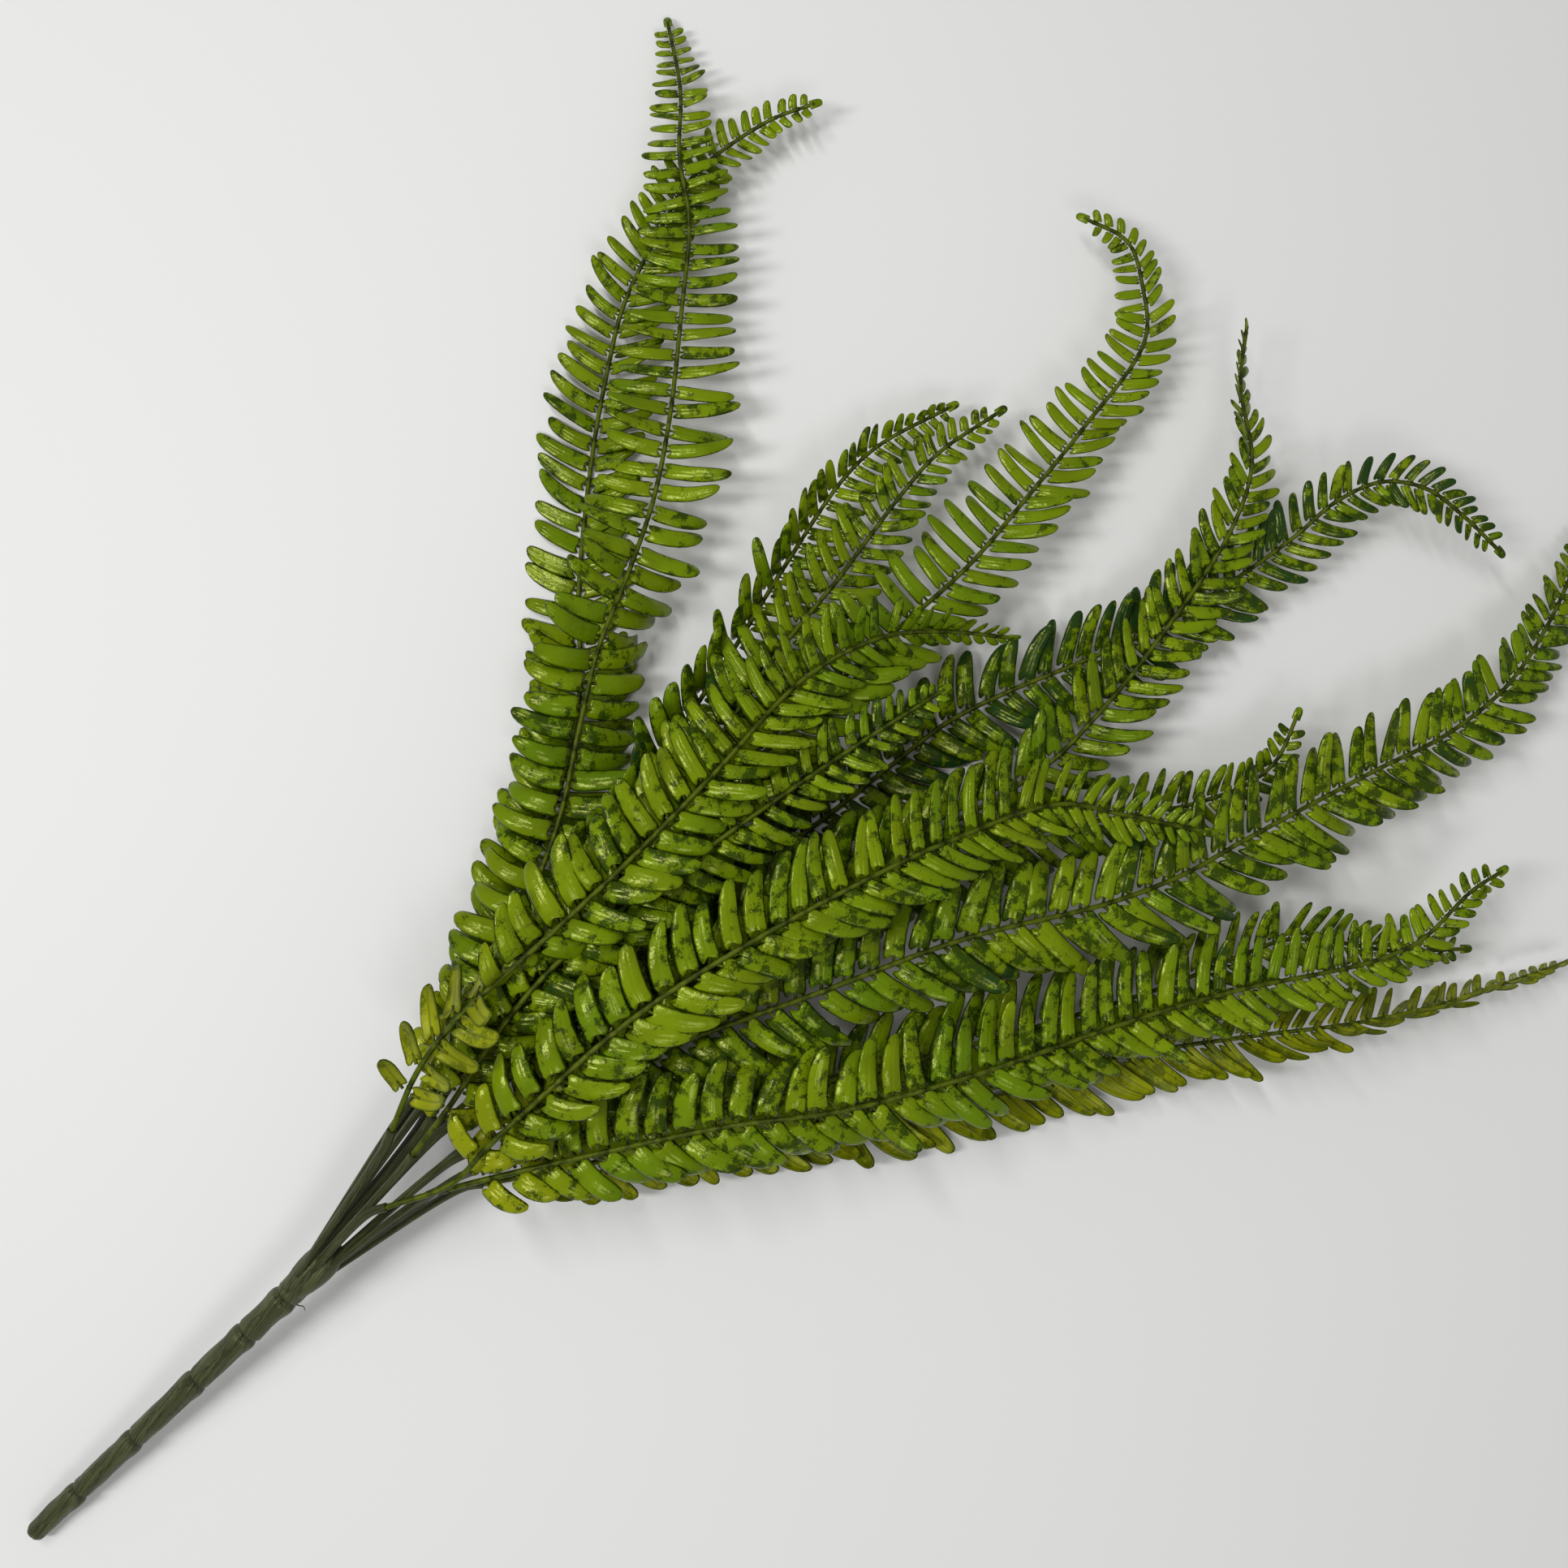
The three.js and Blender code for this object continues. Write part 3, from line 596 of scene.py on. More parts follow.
def leaflet_plastic(colours):
    """Glossy yellow-green plastic with deep green brushed over it in speckled patches, its rims and
    tip darkened partly by deep green paint and partly by painted shade.
    """
    plastic = Plastic("leaflet_plastic")
    place = plastic.place()
    uv = plastic.node("ShaderNodeUVMap", {"uv_map": "UVMap"}, {})
    along, across = (plastic.node("ShaderNodeSeparateXYZ", {}, {"Vector": uv}, output=axis)
                     for axis in ("X", "Y"))
    side = abs(across - 0.5) * 2.0
    back = plastic.attribute("back")
    tone = plastic.attribute("tone")
    youth = plastic.attribute("youth")

    patches = plastic.noise(place, 190.0, detail=3.0, roughness=0.6)
    speckle = plastic.noise(place, 1500.0, detail=3.0, roughness=0.65)
    blotch = patches + (speckle - 0.5) * 0.42 + side * 0.08 + along * 0.05
    brushed = plastic.ramp(blotch + tone * 0.36, 0.69, 0.83)
    # Rims and tip: darker where the sheet rolls down at its edges and towards its tip. This is
    # partly deep green paint on the moulded rims and partly painted shade.
    edge = plastic.ramp(side.larger(along * 0.9) + (patches - 0.5) * 0.6 + (speckle - 0.5) * 0.4,
                        0.58, 0.95)
    tip_spray = plastic.ramp(tone * 1.1 + along * 0.4 + (patches - 0.5) * 1.2, 1.06, 1.24)

    shade = plastic.noise(place, 60.0)
    batch = plastic.noise(place, 17.0)
    ground = plastic.mix(plastic.ramp(batch, 0.45, 0.66), colours.fresh, colours.leaf)
    ground = plastic.mix(plastic.ramp(shade, 0.3, 0.75) * 0.6, ground,
                         scaled(colours.fresh, 0.45))
    ground = plastic.mix(youth, ground, colours.under)
    painted = plastic.mix(brushed * 0.90, ground, colours.deep)
    painted = plastic.mix(tip_spray * 0.8, painted, colours.tip)
    # The top's rims and tip are darkened here, partly with deep green paint and partly with painted
    # shade.
    top = plastic.mix(edge * 0.8, painted, scaled(colours.deep, 0.7))
    rib = 1.0 - plastic.ramp(side, 0.02, 0.16)
    underside = plastic.mix(plastic.ramp(shade, 0.35, 0.75), colours.under,
                            scaled(colours.under, 0.62))
    underside = plastic.mix(rib * 0.5, underside, colours.midrib)
    # The underside's rims are darkened, partly with paint and partly with painted shade; its
    # brushed patches are deep green paint.
    underside = plastic.mix((edge * 0.5).larger(brushed * 0.6), underside, colours.deep)
    colour = plastic.mix(back, top, underside)

    roughness = 0.12 + speckle * 0.14 + back * 0.2
    dimples = plastic.noise(place, 480.0, detail=1.5)
    crease = rib * (1.0 - along).clamped()
    relief = patches * 0.6 + dimples * 0.45 + speckle * 0.06 + crease * (back * 1.1 - 0.5)
    plastic.shader.inputs["Specular Tint"].default_value = GREEN_SHINE
    plastic.shader.inputs["Specular IOR Level"].default_value = 0.38
    return plastic.finish(colour, roughness, relief, 0.0004, strength=0.8)


def midrib_plastic(colours):
    """Olive plastic of the midribs and stalks, darker in its joints."""
    plastic = Plastic("midrib_plastic")
    place = plastic.place()
    joint = plastic.attribute("joint")
    youth = plastic.attribute("youth")
    stain = plastic.noise(place, 220.0, detail=3.0)
    ground = plastic.mix(youth, colours.midrib, scaled(colours.under, 0.42))
    stains_and_groove_shade = plastic.mix(plastic.ramp(stain, 0.42, 0.62) * 0.7, ground,
                       scaled(colours.deep, 0.5))
    colour = plastic.mix(joint * 0.8, stains_and_groove_shade, scaled(colours.deep, 0.3))
    fine = plastic.noise(place, 1800.0)
    plastic.shader.inputs["Specular Tint"].default_value = GREEN_SHINE
    plastic.shader.inputs["Specular IOR Level"].default_value = 0.30
    return plastic.finish(colour, 0.32 + stain * 0.2, fine + stain, 0.0002, strength=0.5)


def stem_plastic(colours):
    """Matte dark olive plastic with lengthwise fibres like those of a plant's stalk, with painted
    shade in their grooves.
    """
    plastic = Plastic("stem_plastic")
    fibres = plastic.attribute("fibres", output="Vector")
    streaks = plastic.noise(fibres, 1.0, detail=4.0, roughness=0.62)
    clouds = plastic.noise(plastic.place(), 90.0, detail=3.0)
    fine = plastic.noise(plastic.place(), 1500.0)
    joint = plastic.attribute("joint")
    youth = plastic.attribute("youth")
    groove = plastic.ramp(abs(streaks - 0.5), 0.0, 0.045)
    ground = plastic.mix(youth, colours.stem, colours.midrib)
    # Darker where the fibre relief is low: the streaks are the stem's own tone, and the darkening
    # along the grooves is painted shade.
    stains_and_groove_shade = plastic.mix((plastic.ramp(streaks, 0.40, 0.58) * 0.5 + groove * 0.5).clamped(),
                       scaled(colours.stem, 0.42), ground)
    dusty = plastic.mix(plastic.ramp(clouds, 0.5, 0.75) * 0.45, stains_and_groove_shade,
                        scaled(colours.stem, 1.5))
    colour = plastic.mix(joint * 0.7, dusty, scaled(colours.stem, 0.25))
    relief = streaks * 0.5 + groove * 0.16 + fine * 0.05 + clouds * 0.14
    plastic.shader.inputs["Specular Tint"].default_value = OLIVE_SHINE
    return plastic.finish(colour, 0.30 + clouds * 0.16, relief, 0.0030, strength=0.9)


# Fronds.

def model_leaflet(sizes, plastics):
    """One leaflet, pointing along +X from the end of its stalk, its top up, its hook towards +Y."""
    deselect_all()
    rows = len(LEAFLET_ROWS) - 1
    columns = len(LEAFLET_COLUMNS) - 1
    bpy.ops.mesh.primitive_grid_add(x_subdivisions=rows, y_subdivisions=columns, size=1.0,
                                    location=(0, 0, 0))
    leaflet = bpy.context.object
    leaflet.name = "leaflet"
    bpy.ops.object.mode_set(mode="EDIT")
    for column, (across, height) in enumerate(LEAFLET_COLUMNS):
        place = column / columns - 0.5
        select_vertices(leaflet, lambda co: abs(co.y - place) < 0.01)
        bpy.ops.transform.translate(value=(0, across - place, sizes.crown * height))
    for row, (along, width) in reversed(list(enumerate(LEAFLET_ROWS))):
        place = row / rows - 0.5
        select_vertices(leaflet, lambda co: abs(co.x - place) < 0.01)
        bpy.ops.transform.resize(value=(1, width, max(width, LEAST_CROWN)),
                                 center_override=(place, 0, 0))
        bpy.ops.transform.translate(value=(along - place + 1.0, 0, 0))
    select_vertices(leaflet, lambda co: abs(co.x - 1.0) < 0.01 and abs(co.y) < 0.1)
    bpy.ops.transform.translate(value=(sizes.notch, 0, 0))
    select_vertices(leaflet, lambda co: abs(co.x - 1.0) < 0.01 and abs(co.y) > 0.3)
    bpy.ops.transform.translate(value=(-EAR_SWEEP * sizes.notch, 0, 0))
    bpy.ops.mesh.select_all(action="SELECT")
    bpy.ops.transform.translate(value=(-1.0, 0, 0))
    bpy.ops.transform.resize(value=(sizes.length, sizes.width, sizes.width),
                             center_override=(0, 0, 0))
    bpy.ops.object.mode_set(mode="OBJECT")
    top_count = len(leaflet.data.vertices)
    shell = leaflet.modifiers.new("sheet", "SOLIDIFY")
    shell.thickness = sizes.thickness
    shell.offset = -1.0
    bpy.ops.object.modifier_apply(modifier=shell.name)
    fill_attribute(leaflet, "back", (np.arange(len(leaflet.data.vertices)) >= top_count) * 1.0)
    leaflet.data.materials.append(plastics["leaflet"])
    leaflet.data.materials.append(plastics["midrib"])

    deselect_all()
    reach = sizes.stalk + STALK_UNDERLAP * sizes.notch * sizes.length
    height = sizes.crown * sizes.width - sizes.thickness
    bpy.ops.mesh.primitive_cylinder_add(vertices=6, radius=sizes.stalk_radius, depth=reach,
                                        location=(reach / 2 - sizes.stalk, 0, height),
                                        rotation=(0, math.pi / 2, 0))
    stalk = bpy.context.object
    bpy.ops.object.transform_apply(location=True, rotation=True, scale=True)
    stalk.data.materials.append(plastics["midrib"])
    leaflet = join([leaflet, stalk], "leaflet")
    turn_faces_out()
    bpy.ops.object.shade_smooth()
    return leaflet


def copied(piece, points):
    """A copy of a piece, with its own mesh moved to new points."""
    copy = piece.copy()
    copy.data = piece.data.copy()
    bpy.context.collection.objects.link(copy)
    move_points(copy, points)
    return copy


def mirrored(leaflet):
    """The leaflet for a midrib's other side."""
    other = copied(leaflet, points_of(leaflet) * (1, -1, 1))
    deselect_all()
    other.select_set(True)
    bpy.context.view_layer.objects.active = other
    turn_faces_out()
    return other


def bent(shape, length, stretch, widen, hook, droop, twist):
    """The points of a leaflet, stretched, hooked towards its side, twisted and arched down."""
    x = shape[:, 0] * stretch
    y = shape[:, 1] * widen
    z = shape[:, 2] * widen
    share = np.clip(x / length, 0.0, 1.0)
    y = y + hook * length * share**2.2
    roll = twist * (0.35 + 0.65 * share)
    y, z = y * np.cos(roll) - z * np.sin(roll), y * np.sin(roll) + z * np.cos(roll)
    angle = droop * share
    radius = length / droop
    arched_x = np.minimum(x, 0.0) + (radius + z) * np.sin(angle)
    arched_z = (radius + z) * np.cos(angle) - radius
    return np.column_stack([arched_x, y, arched_z])


def leaflet_length(frond, share):
    """How far the leaflets reach from the midrib, along the leafy part."""
    rise = min(1.0, FIRST_REACH + REACH_RISE * share)
    tapered = max(0.0, (share - TAPER_START) / (1.0 - TAPER_START))
    fall = 1.0 - TAPER_DEPTH * tapered**TAPER_POWER
    return frond["reach"] * rise * fall * (1.0 - 0.3 * share**20)


def pitch_at(share, sizes):
    """The spacing of the leaflets, closer towards the tip."""
    closing = 0.85 * share + 0.15 * share**4
    return sizes.first_pitch - (sizes.first_pitch - sizes.last_pitch) * closing


def leaflet_places(frond, route, sizes):
    """Distances along the midrib where a pair of leaflets stands."""
    places = []
    distance = frond["bare"]
    while distance < route.length - 0.004:
        share = (distance - frond["bare"]) / (route.length - frond["bare"])
        places.append((distance, share))
        distance += pitch_at(share, sizes)
    return places


def midrib_radius(share, stem_sizes):
    return stem_sizes.midrib_radius * (1.0 - MIDRIB_TAPER * min(max(share, 0.0), 1.0))


def place_leaflet(master, shape, frond, route, distance, share, side, settings, chance):
    """One copy of the leaflet, bent, set on the midrib and given its shade."""
    sizes, stem_sizes = settings
    pitch = pitch_at(share, sizes)
    index = 0 if side > 0 else 1
    longer = 1.0 + (frond.get("longer", (1.0, 1.0))[index] - 1.0) * math.sin(math.pi * share)
    reach = leaflet_length(frond, share) * longer * chance.uniform(*LENGTH_RANGE)
    breadths = (*FIRST_BREADTHS, frond.get("broad", LAST_BREADTH))
    breadth = np.interp(share, BREADTH_PLACES, breadths)
    width = min(breadth * pitch, 0.66 * reach) * chance.uniform(*WIDTH_RANGE)
    widen = width / sizes.width
    edge = 0.8 * midrib_radius(share, stem_sizes)
    stalk = sizes.stalk * (1.25 - share)
    length = max(reach - edge - stalk, 0.004)
    lean = math.radians(frond["lean"][index] - 6 * share
                        + chance.uniform(-LEAN_SPREAD, LEAN_SPREAD) * (1.0 - 0.4 * share))
    lift = math.radians(frond["lift"][index] * min(1.0, 4 * share) + LIFT
                        + chance.uniform(-LIFT_SPREAD, LIFT_SPREAD))
    droop = math.radians(chance.uniform(*DROOP_RANGE) * (1.0 - 0.5 * share**2))
    hook = sizes.hook * chance.uniform(*HOOK_RANGE) * (1.1 - 0.5 * share)
    twist = math.radians(side * (TWIST + chance.uniform(-TWIST_SPREAD, TWIST_SPREAD)))
    points = bent(shape, length, length / sizes.length, widen, side * -hook, droop, twist)
    ripple = np.sin(points[:, 0] / length * 7.0 + chance.uniform(0, 6.3)) * points[:, 1] / width
    points[:, 2] += ripple * RIPPLE * widen

    along, left, over = route.axes(distance)
    across = left * side
    outward = math.cos(lean) * along + math.sin(lean) * across
    forward = np.cross(over, outward)
    tipped = math.cos(lift) * outward + math.sin(lift) * over
    upward = np.cross(tipped, forward)
    start = route.at(distance + chance.uniform(-PLACE_SPREAD, PLACE_SPREAD))
    start = start + outward * (edge + stalk) - over * 0.0012 * widen
    placed = start + points[:, :1] * tipped + points[:, 1:2] * forward + points[:, 2:] * upward

    leaf = copied(master, placed)
    fill_attribute(leaf, "tone", min(1.0, max(0.0, frond["dark"] + chance.gauss(0, TONE_SPREAD))))
    youth = max(0.0, 1.0 - share / frond.get("young", 0.08)) * 0.85
    fill_attribute(leaf, "youth", youth + chance.uniform(0, 0.2) * (1.0 - youth))
    return leaf


def end_leaflet(master, shape, frond, route, sizes):
    """The small leaflet that ends the midrib."""
    along, left, over = route.axes(route.length)
    points = bent(shape, END_LEAFLET_LENGTH, END_LEAFLET_LENGTH / sizes.length,
                  END_LEAFLET_WIDTH / sizes.width, hook=0.0, droop=0.3, twist=0.0)
    placed = route.at(route.length - 0.002) + points[:, :1] * along + points[:, 1:2] * left
    leaf = copied(master, placed + points[:, 2:] * over)
    fill_attribute(leaf, "tone", frond["dark"])
    fill_attribute(leaf, "youth", 0.0)
    return leaf


def settle(points, depth=0.003, ceiling=0.065, give=0.011):
    """Presses what would sink into the surface into a thin layer above it.

    What stands too high goes into a layer above the ceiling.
    """
    height = points[:, 2]
    low = height < depth
    points[low, 2] = depth * np.exp((height[low] - depth) / depth)
    high = height > ceiling
    points[high, 2] = ceiling + give * (1.0 - np.exp((ceiling - height[high]) / give))
    return points


def model_midrib(frond, route, sizes, stem_sizes, plastics):
    """The jointed midrib with its pin in the socket."""
    rings = [distance for distance, _ in leaflet_places(frond, route, sizes)][::2]
    stations = [(at, 0.0) for at in np.arange(-PIN_LENGTH, route.length, MIDRIB_STEP)]
    for ring in rings:
        for offset, joint in JOINT_STATIONS:
            stations.append((ring + JOINT_PLACE + offset, joint))
    stations.append((route.length, 0.0))
    stations.sort()
    points = np.array([route.at(at) for at, _ in stations])
    radii = []
    for at, joint in stations:
        swell = 1.0 + (JOINT_SWELL if joint > 0.9 else 0.0) - (JOINT_PINCH if joint < 0 else 0.0)
        radii.append(midrib_radius(at / route.length, stem_sizes) * swell)
    midrib = tube_along(frond["name"], points, radii)
    midrib.data.materials.append(plastics["leaflet"])
    midrib.data.materials.append(plastics["midrib"])
    midrib.data.polygons.foreach_set("material_index", np.ones(len(midrib.data.polygons), int))
    places = points_of(midrib)
    joints = np.array([at for at, joint in stations if joint < 0])
    centres = np.array([route.at(at) for at in joints])
    gaps = np.linalg.norm(places[:, None, :] - centres[None, :, :], axis=2).min(axis=1)
    fill_attribute(midrib, "joint", (gaps < JOINT_STAIN_REACH) * 1.0)
    fill_attribute(midrib, "youth", MIDRIB_YOUTH)
    return midrib


def model_frond(frond, masters, sizes, stem_sizes, plastics, chance):
    """A whole frond: its midrib and two rows of leaflets, joined as one moulding."""
    route = Route(frond["route"])
    parts = [model_midrib(frond, route, sizes, stem_sizes, plastics)]
    shapes = {side: points_of(master) for side, master in masters.items()}
    for distance, share in leaflet_places(frond, route, sizes):
        for side in (1, -1):
            parts.append(place_leaflet(masters[side], shapes[side], frond, route, distance, share,
                                       side, (sizes, stem_sizes), chance))
    parts.append(end_leaflet(masters[1], shapes[1], frond, route, sizes))
    piece = join(parts, "moulded_" + frond["name"])
    move_points(piece, settle(points_of(piece)))
    return piece


# Stem.

def model_pick(stem_sizes):
    """The thick end of the stem: a domed end, then segments that flare into their joints."""
    end = np.array([-PICK_LENGTH, PICK_SIDE, PICK_END_HEIGHT]) + FORK_PLACE
    fork = np.array([0.0, PICK_SIDE, FORK_HEIGHT]) + FORK_PLACE
    length = np.linalg.norm(fork - end)
    heading = (fork - end) / length
    past_fork = length + 0.02
    joints = np.array([0.0, *RING_DISTANCES, past_fork])
    stations = np.arange(0.0, length + PICK_OVERRUN, PICK_STEP)
    radii = []
    for at in stations:
        share = min(at / length, 1.0)
        radius = PICK_END_RADIUS + (PICK_FORK_RADIUS - PICK_END_RADIUS) * share**PICK_SWELL_POWER
        before = min(joint - at for joint in joints[1:] if joint >= at)
        after = min(at - joint for joint in joints[:-1] if joint <= at)
        nearest = before if at < joints[1] else min(before, after)
        radius *= 1.0 - RING_NOTCH * math.exp(-(nearest / RING_NOTCH_WIDTH) ** 2)
        radius *= 1.0 + FLARE * math.exp(-((before - FLARE_PLACE) / FLARE_WIDTH) ** 2)
        if at < PICK_END_RADIUS:
            radius *= math.sqrt(max(1.0 - (1.0 - at / PICK_END_RADIUS) ** 2, 0.03))
        if at > length:
            radius *= math.sqrt(max(1.0 - ((at - length) / 0.0125) ** 2, 0.05))
        radii.append(radius)
    points = end + stations[:, None] * heading
    pick = tube_along("pick", points, radii, resolution=22)
    shape = points_of(pick)
    distances = (shape - end) @ heading
    centres = end + distances[:, None] * heading
    outward = shape - centres
    reach = np.linalg.norm(outward, axis=1)
    angle = np.arctan2(outward[:, 2], outward[:, 1])
    carved = []
    for at, turn, far in zip(distances, angle, reach):
        swirl = turn + at * FIBRE_TWIST
        fibre = noise.noise(Vector((math.cos(swirl) * FIBRE_COUNT,
                                    math.sin(swirl) * FIBRE_COUNT, at * 40)))
        lump = noise.noise(Vector((math.cos(turn), math.sin(turn), at * 90)))
        crease = max(0.0, 1.0 - abs(fibre) * 8.0)
        carved.append(1 + stem_sizes.groove * (0.8 * fibre + 1.3 * lump - 0.6 * crease)
                      / max(far, 0.001) * min(far / 0.004, 1.0))
    move_points(pick, centres + outward * np.array(carved)[:, None])
    fill_fibres(pick, distances, angle)
    gaps = np.abs(distances[:, None] - joints[None, 1:-1]).min(axis=1)
    fill_attribute(pick, "joint", np.exp(-(gaps / RING_STAIN_WIDTH) ** 2) * 0.9)
    fill_attribute(pick, "youth", 0.0)
    return pick


def model_branch(frond, stem_sizes, chance):
    """One branch of the stem, from inside the fork to its blind socket."""
    route = Route(frond["route"])
    mouth = route.at(0.0)
    heading = route.heading(0.0)
    root = np.array([BRANCH_ROOT, (mouth - FORK_PLACE)[1] * BRANCH_ROOT_SPREAD + PICK_SIDE,
                     FORK_HEIGHT + (mouth[2] - FORK_HEIGHT) * BRANCH_ROOT_RISE]) + FORK_PLACE
    throat = mouth - heading * BRANCH_THROAT
    line = Route([tuple(point - FORK_PLACE) for point in (root, throat, mouth)])
    stations = np.linspace(0.0, line.length, BRANCH_STATIONS)
    points = np.array([line.at(at) for at in stations])
    radius = stem_sizes.branch_radius * chance.uniform(0.9, 1.12)
    radii = [radius * (0.70 + 0.32 * at / line.length) for at in stations]
    branch = tube_along("branch", points, radii, resolution=4)
    bpy.ops.object.mode_set(mode="EDIT")
    bpy.ops.mesh.select_mode(type="FACE")
    end = Vector(points[-1])
    ahead = Vector(heading)
    select_faces(branch, lambda face: (face.calc_center_median() - end).length < radius * 0.9
                 and abs(face.normal.dot(ahead)) > 0.8)
    bpy.ops.mesh.inset(thickness=radius * SOCKET_WALL)
    bpy.ops.mesh.extrude_region_move(
        TRANSFORM_OT_translate={"value": tuple(-ahead * stem_sizes.socket_depth)})
    bpy.ops.mesh.select_mode(type="VERT")
    bpy.ops.object.mode_set(mode="OBJECT")
    shape = points_of(branch)
    nearest = np.linalg.norm(shape[:, None, :] - points[None], axis=2).argmin(axis=1)
    offsets = shape - points[nearest]
    fill_fibres(branch, stations[nearest] + mouth[1] * 7, np.arctan2(offsets[:, 2], offsets[:, 1]))
    fill_attribute(branch, "joint", 0.0)
    fill_attribute(branch, "youth", max(0.0, chance.uniform(-0.25, 0.4)))
    return branch


def model_flash():
    """The thin curl of plastic left where the mould parted."""
    start = np.array([-0.0175, PICK_SIDE - 0.0055, FORK_HEIGHT - 0.003]) + FORK_PLACE
    flash = tube_along("flash", start + np.array(FLASH_STEPS), FLASH_RADII)
    fill_fibres(flash, points_of(flash)[:, 1], 0.0)
    fill_attribute(flash, "joint", 0.3)
    fill_attribute(flash, "youth", 0.0)
    return flash


def model_hub():
    """The web where the branches part."""
    deselect_all()
    bpy.ops.mesh.primitive_uv_sphere_add(segments=24, ring_count=14, radius=1.0)
    hub = bpy.context.object
    bpy.ops.object.mode_set(mode="EDIT")
    bpy.ops.transform.rotate(value=math.pi / 2, orient_axis="Y", center_override=(0, 0, 0))
    bpy.ops.transform.resize(value=HUB_SIZE, center_override=(0, 0, 0))
    bpy.ops.object.mode_set(mode="OBJECT")
    bpy.ops.object.shade_smooth()
    centre = np.array([-0.003, PICK_SIDE, FORK_HEIGHT]) + FORK_PLACE
    shape = points_of(hub)
    narrowing = np.clip(1.0 + shape[:, :1] * 14.0, 0.7, 1.3)
    move_points(hub, shape * np.hstack([np.ones_like(narrowing), narrowing, narrowing]) + centre)
    fill_fibres(hub, shape[:, 0] + 0.2, np.arctan2(shape[:, 2], shape[:, 1]))
    fill_attribute(hub, "joint", 0.0)
    fill_attribute(hub, "youth", 0.0)
    return hub


# Operators.

def picture_axes(roll):
    """The directions of the picture's width and height on the surface."""
    across = Vector((math.cos(roll), math.sin(roll), 0))
    return across, Vector((-across.y, across.x, 0))


def plastics_in_use(context):
    """The finished materials, made once."""
    colours = context.scene.fern_colours
    makers = {"leaflet": leaflet_plastic, "midrib": midrib_plastic, "stem": stem_plastic}
    return {name: bpy.data.materials.get(name + "_plastic") or make(colours)
            for name, make in makers.items()}


class FERN_OT_fronds(bpy.types.Operator):
    """Models the fronds: one leaflet, copied along each frond's midrib"""

    bl_idname = "fern.fronds"
    bl_label = "Fronds"

    def execute(self, context):
        sizes = context.scene.fern_leaflets
        stem_sizes = context.scene.fern_stem
        plastics = plastics_in_use(context)
        chance = random.Random(sizes.seed)
        leaflet = model_leaflet(sizes, plastics)
        masters = {1: mirrored(leaflet), -1: leaflet}
        for frond in FRONDS:
            piece = model_frond(frond, masters, sizes, stem_sizes, plastics, chance)
            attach(piece, BODY)
            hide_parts(frond["name"])
        for master in masters.values():
            bpy.data.objects.remove(master)
        return {"FINISHED"}


class FERN_OT_stem(bpy.types.Operator):
    """Models the stem: the thick end, the fork and the branches with their sockets"""

    bl_idname = "fern.stem"
    bl_label = "Stem"

    def execute(self, context):
        stem_sizes = context.scene.fern_stem
        chance = random.Random(context.scene.fern_leaflets.seed)
        branches = [model_branch(frond, stem_sizes, chance) for frond in FRONDS]
        solids = [model_pick(stem_sizes), model_hub(), model_flash(), *branches]
        stem = join(solids, "moulded_stem")
        stem.data.materials.clear()
        stem.data.materials.append(plastics_in_use(context)["stem"])
        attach(stem, BODY)
        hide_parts("main_stem")
        return {"FINISHED"}


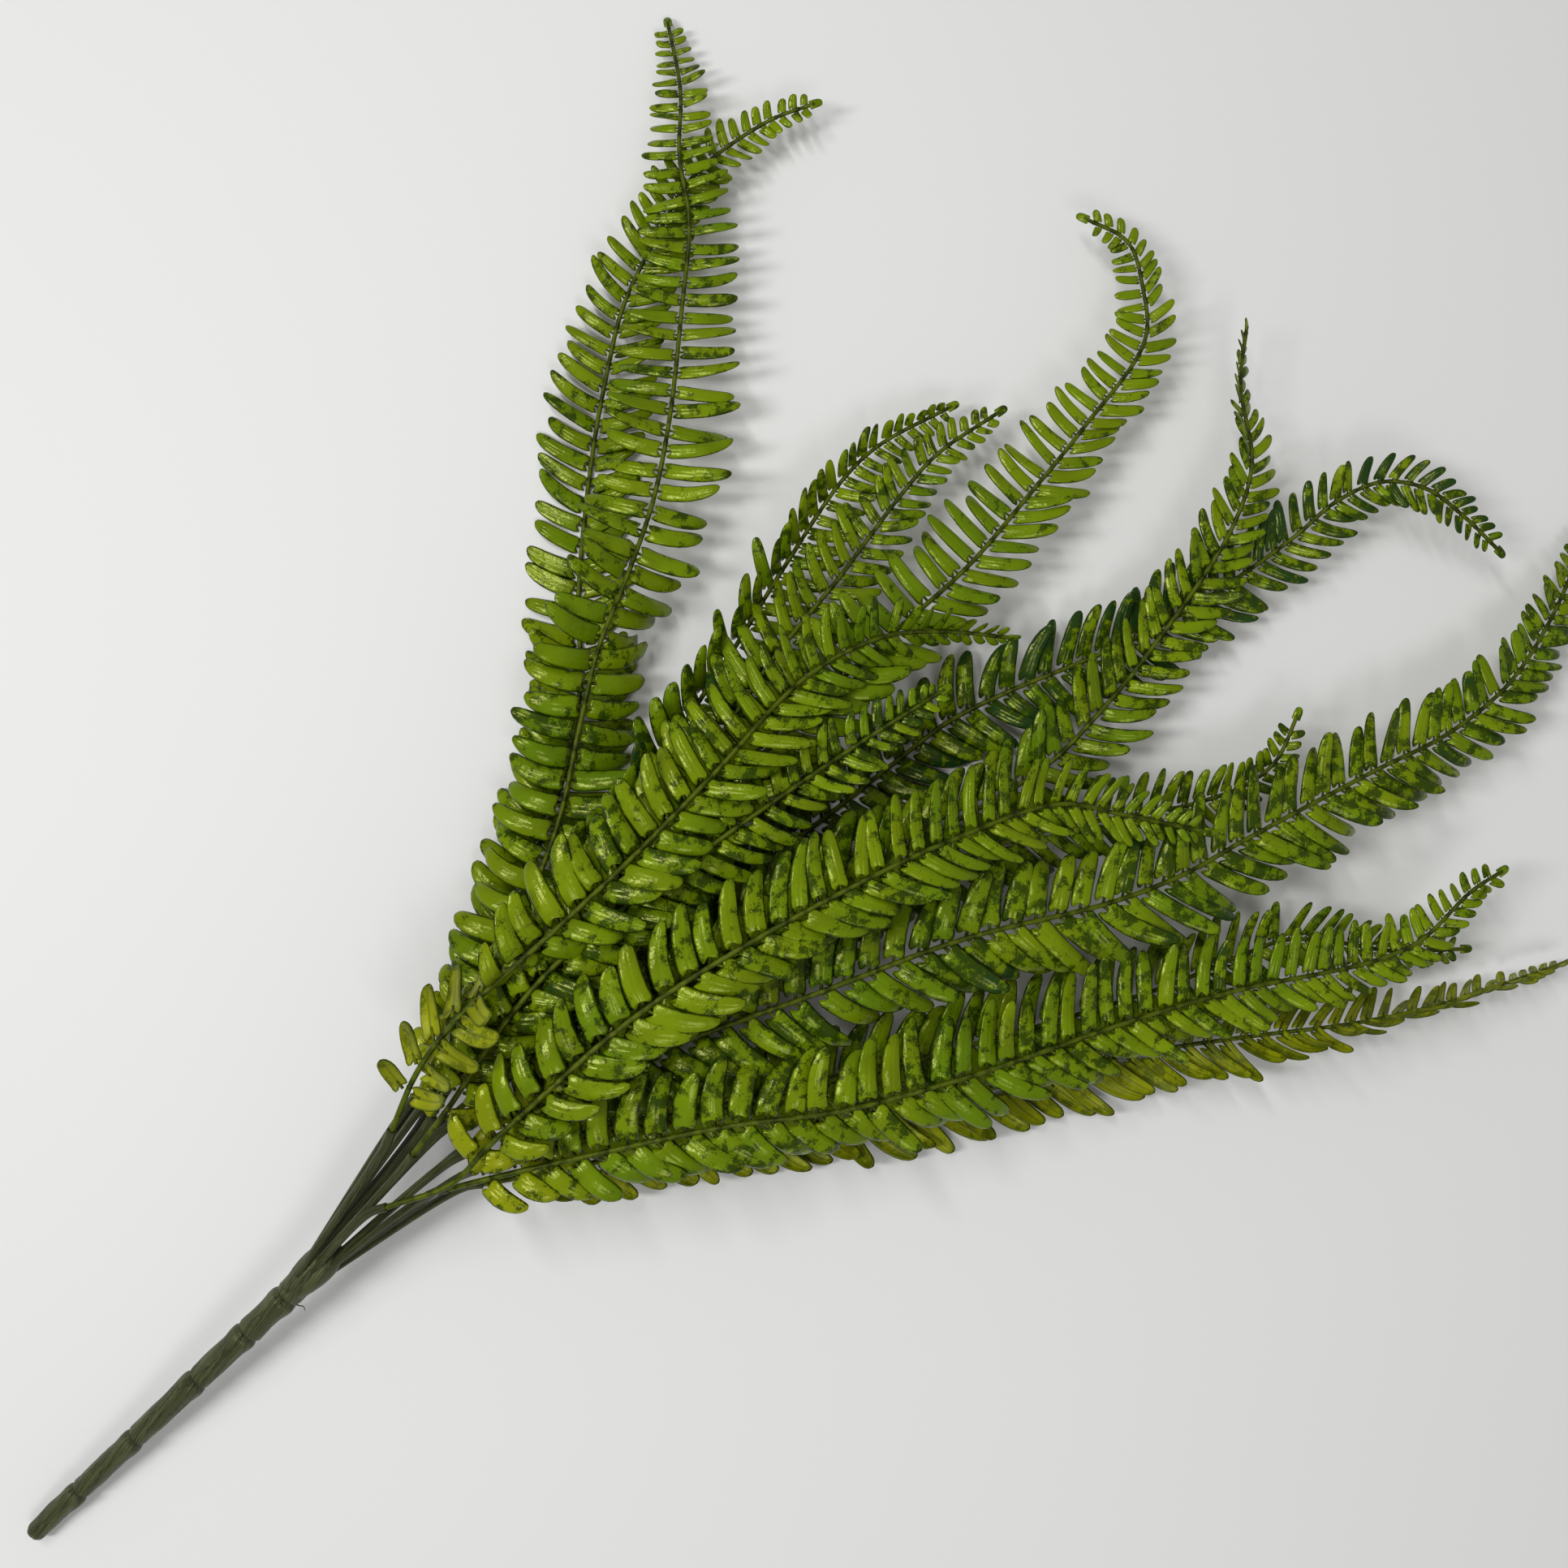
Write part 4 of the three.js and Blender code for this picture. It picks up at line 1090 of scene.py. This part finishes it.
class FERN_OT_studio(bpy.types.Operator):
    """Sets up the pale surface, the soft lights and the camera"""

    bl_idname = "fern.studio"
    bl_label = "Studio"

    def execute(self, context):
        studio = context.scene.fern_studio
        self.surface(studio)
        self.camera(context, studio)
        self.lights(context, studio)
        return {"FINISHED"}

    def surface(self, studio):
        deselect_all()
        bpy.ops.mesh.primitive_plane_add(size=8.0, location=(0, 0, 0))
        floor = bpy.context.object
        floor.name = "surface"
        paint = Plastic("surface_paint")
        grain = paint.noise(paint.place(), 700.0)
        cloud = paint.noise(paint.place(), 2.5)
        colour = paint.mix(cloud * 0.5, studio.floor, scaled(studio.floor, 0.95))
        floor.data.materials.append(paint.finish(colour, 0.6, grain, 0.0001, strength=0.2))

    def camera(self, context, studio):
        across, upward = picture_axes(studio.roll)
        centre = Vector(FORK_PLACE) + across * CAMERA_ACROSS + upward * CAMERA_UP
        data = bpy.data.cameras.new("camera")
        data.sensor_width = 36.0
        data.lens = 36.0 * studio.camera_height / studio.view_width
        camera = bpy.data.objects.new("camera", data)
        camera.location = (centre.x, centre.y, studio.camera_height)
        camera.rotation_euler = (0, 0, studio.roll)
        context.collection.objects.link(camera)
        context.scene.camera = camera

    def lights(self, context, studio):
        world = bpy.data.worlds.new("room")
        world.use_nodes = True
        background = world.node_tree.nodes["Background"]
        background.inputs["Color"].default_value = (1.0, 1.0, 0.99, 1.0)
        background.inputs["Strength"].default_value = ROOM_STRENGTH
        context.scene.world = world
        context.scene.view_settings.view_transform = "Standard"
        across, upward = picture_axes(studio.roll)
        for name, sideways, forwards, height, size, power in PANELS:
            data = bpy.data.lights.new(name, "AREA")
            data.shape = "RECTANGLE"
            data.size, data.size_y = size
            data.energy = power
            light = bpy.data.objects.new(name, data)
            light.location = across * sideways + upward * forwards + Vector((0, 0, height))
            light.rotation_euler = (-light.location).to_track_quat("-Z", "Y").to_euler()
            context.collection.objects.link(light)


class FERN_PT_panel(bpy.types.Panel):
    """Lists the fern's settings and operators"""

    bl_label = "Fern Spray"
    bl_idname = "FERN_PT_panel"
    bl_space_type = "VIEW_3D"
    bl_region_type = "UI"
    bl_category = "Fern Spray"

    def draw(self, context):
        layout = self.layout
        for name in SETTINGS:
            box = layout.box()
            settings = getattr(context.scene, name)
            for prop in settings.bl_rna.properties:
                if prop.identifier not in ("name", "rna_type"):
                    box.prop(settings, prop.identifier)
        for operator in (FERN_OT_fronds, FERN_OT_stem, FERN_OT_studio):
            layout.operator(operator.bl_idname)


SETTINGS = {
    "fern_leaflets": LeafletSettings,
    "fern_stem": StemSettings,
    "fern_colours": ColourSettings,
    "fern_studio": StudioSettings,
}
CLASSES = (*SETTINGS.values(), FERN_OT_fronds, FERN_OT_stem, FERN_OT_studio, FERN_PT_panel)


def register():
    for item in CLASSES:
        bpy.utils.register_class(item)
    for name, settings in SETTINGS.items():
        setattr(bpy.types.Scene, name, PointerProperty(type=settings))


def unregister():
    for name in SETTINGS:
        delattr(bpy.types.Scene, name)
    for item in reversed(CLASSES):
        bpy.utils.unregister_class(item)


def main():
    register()
    bpy.ops.fern.studio()
    bpy.ops.fern.stem()
    bpy.ops.fern.fronds()


if __name__ == "__main__":
    main()
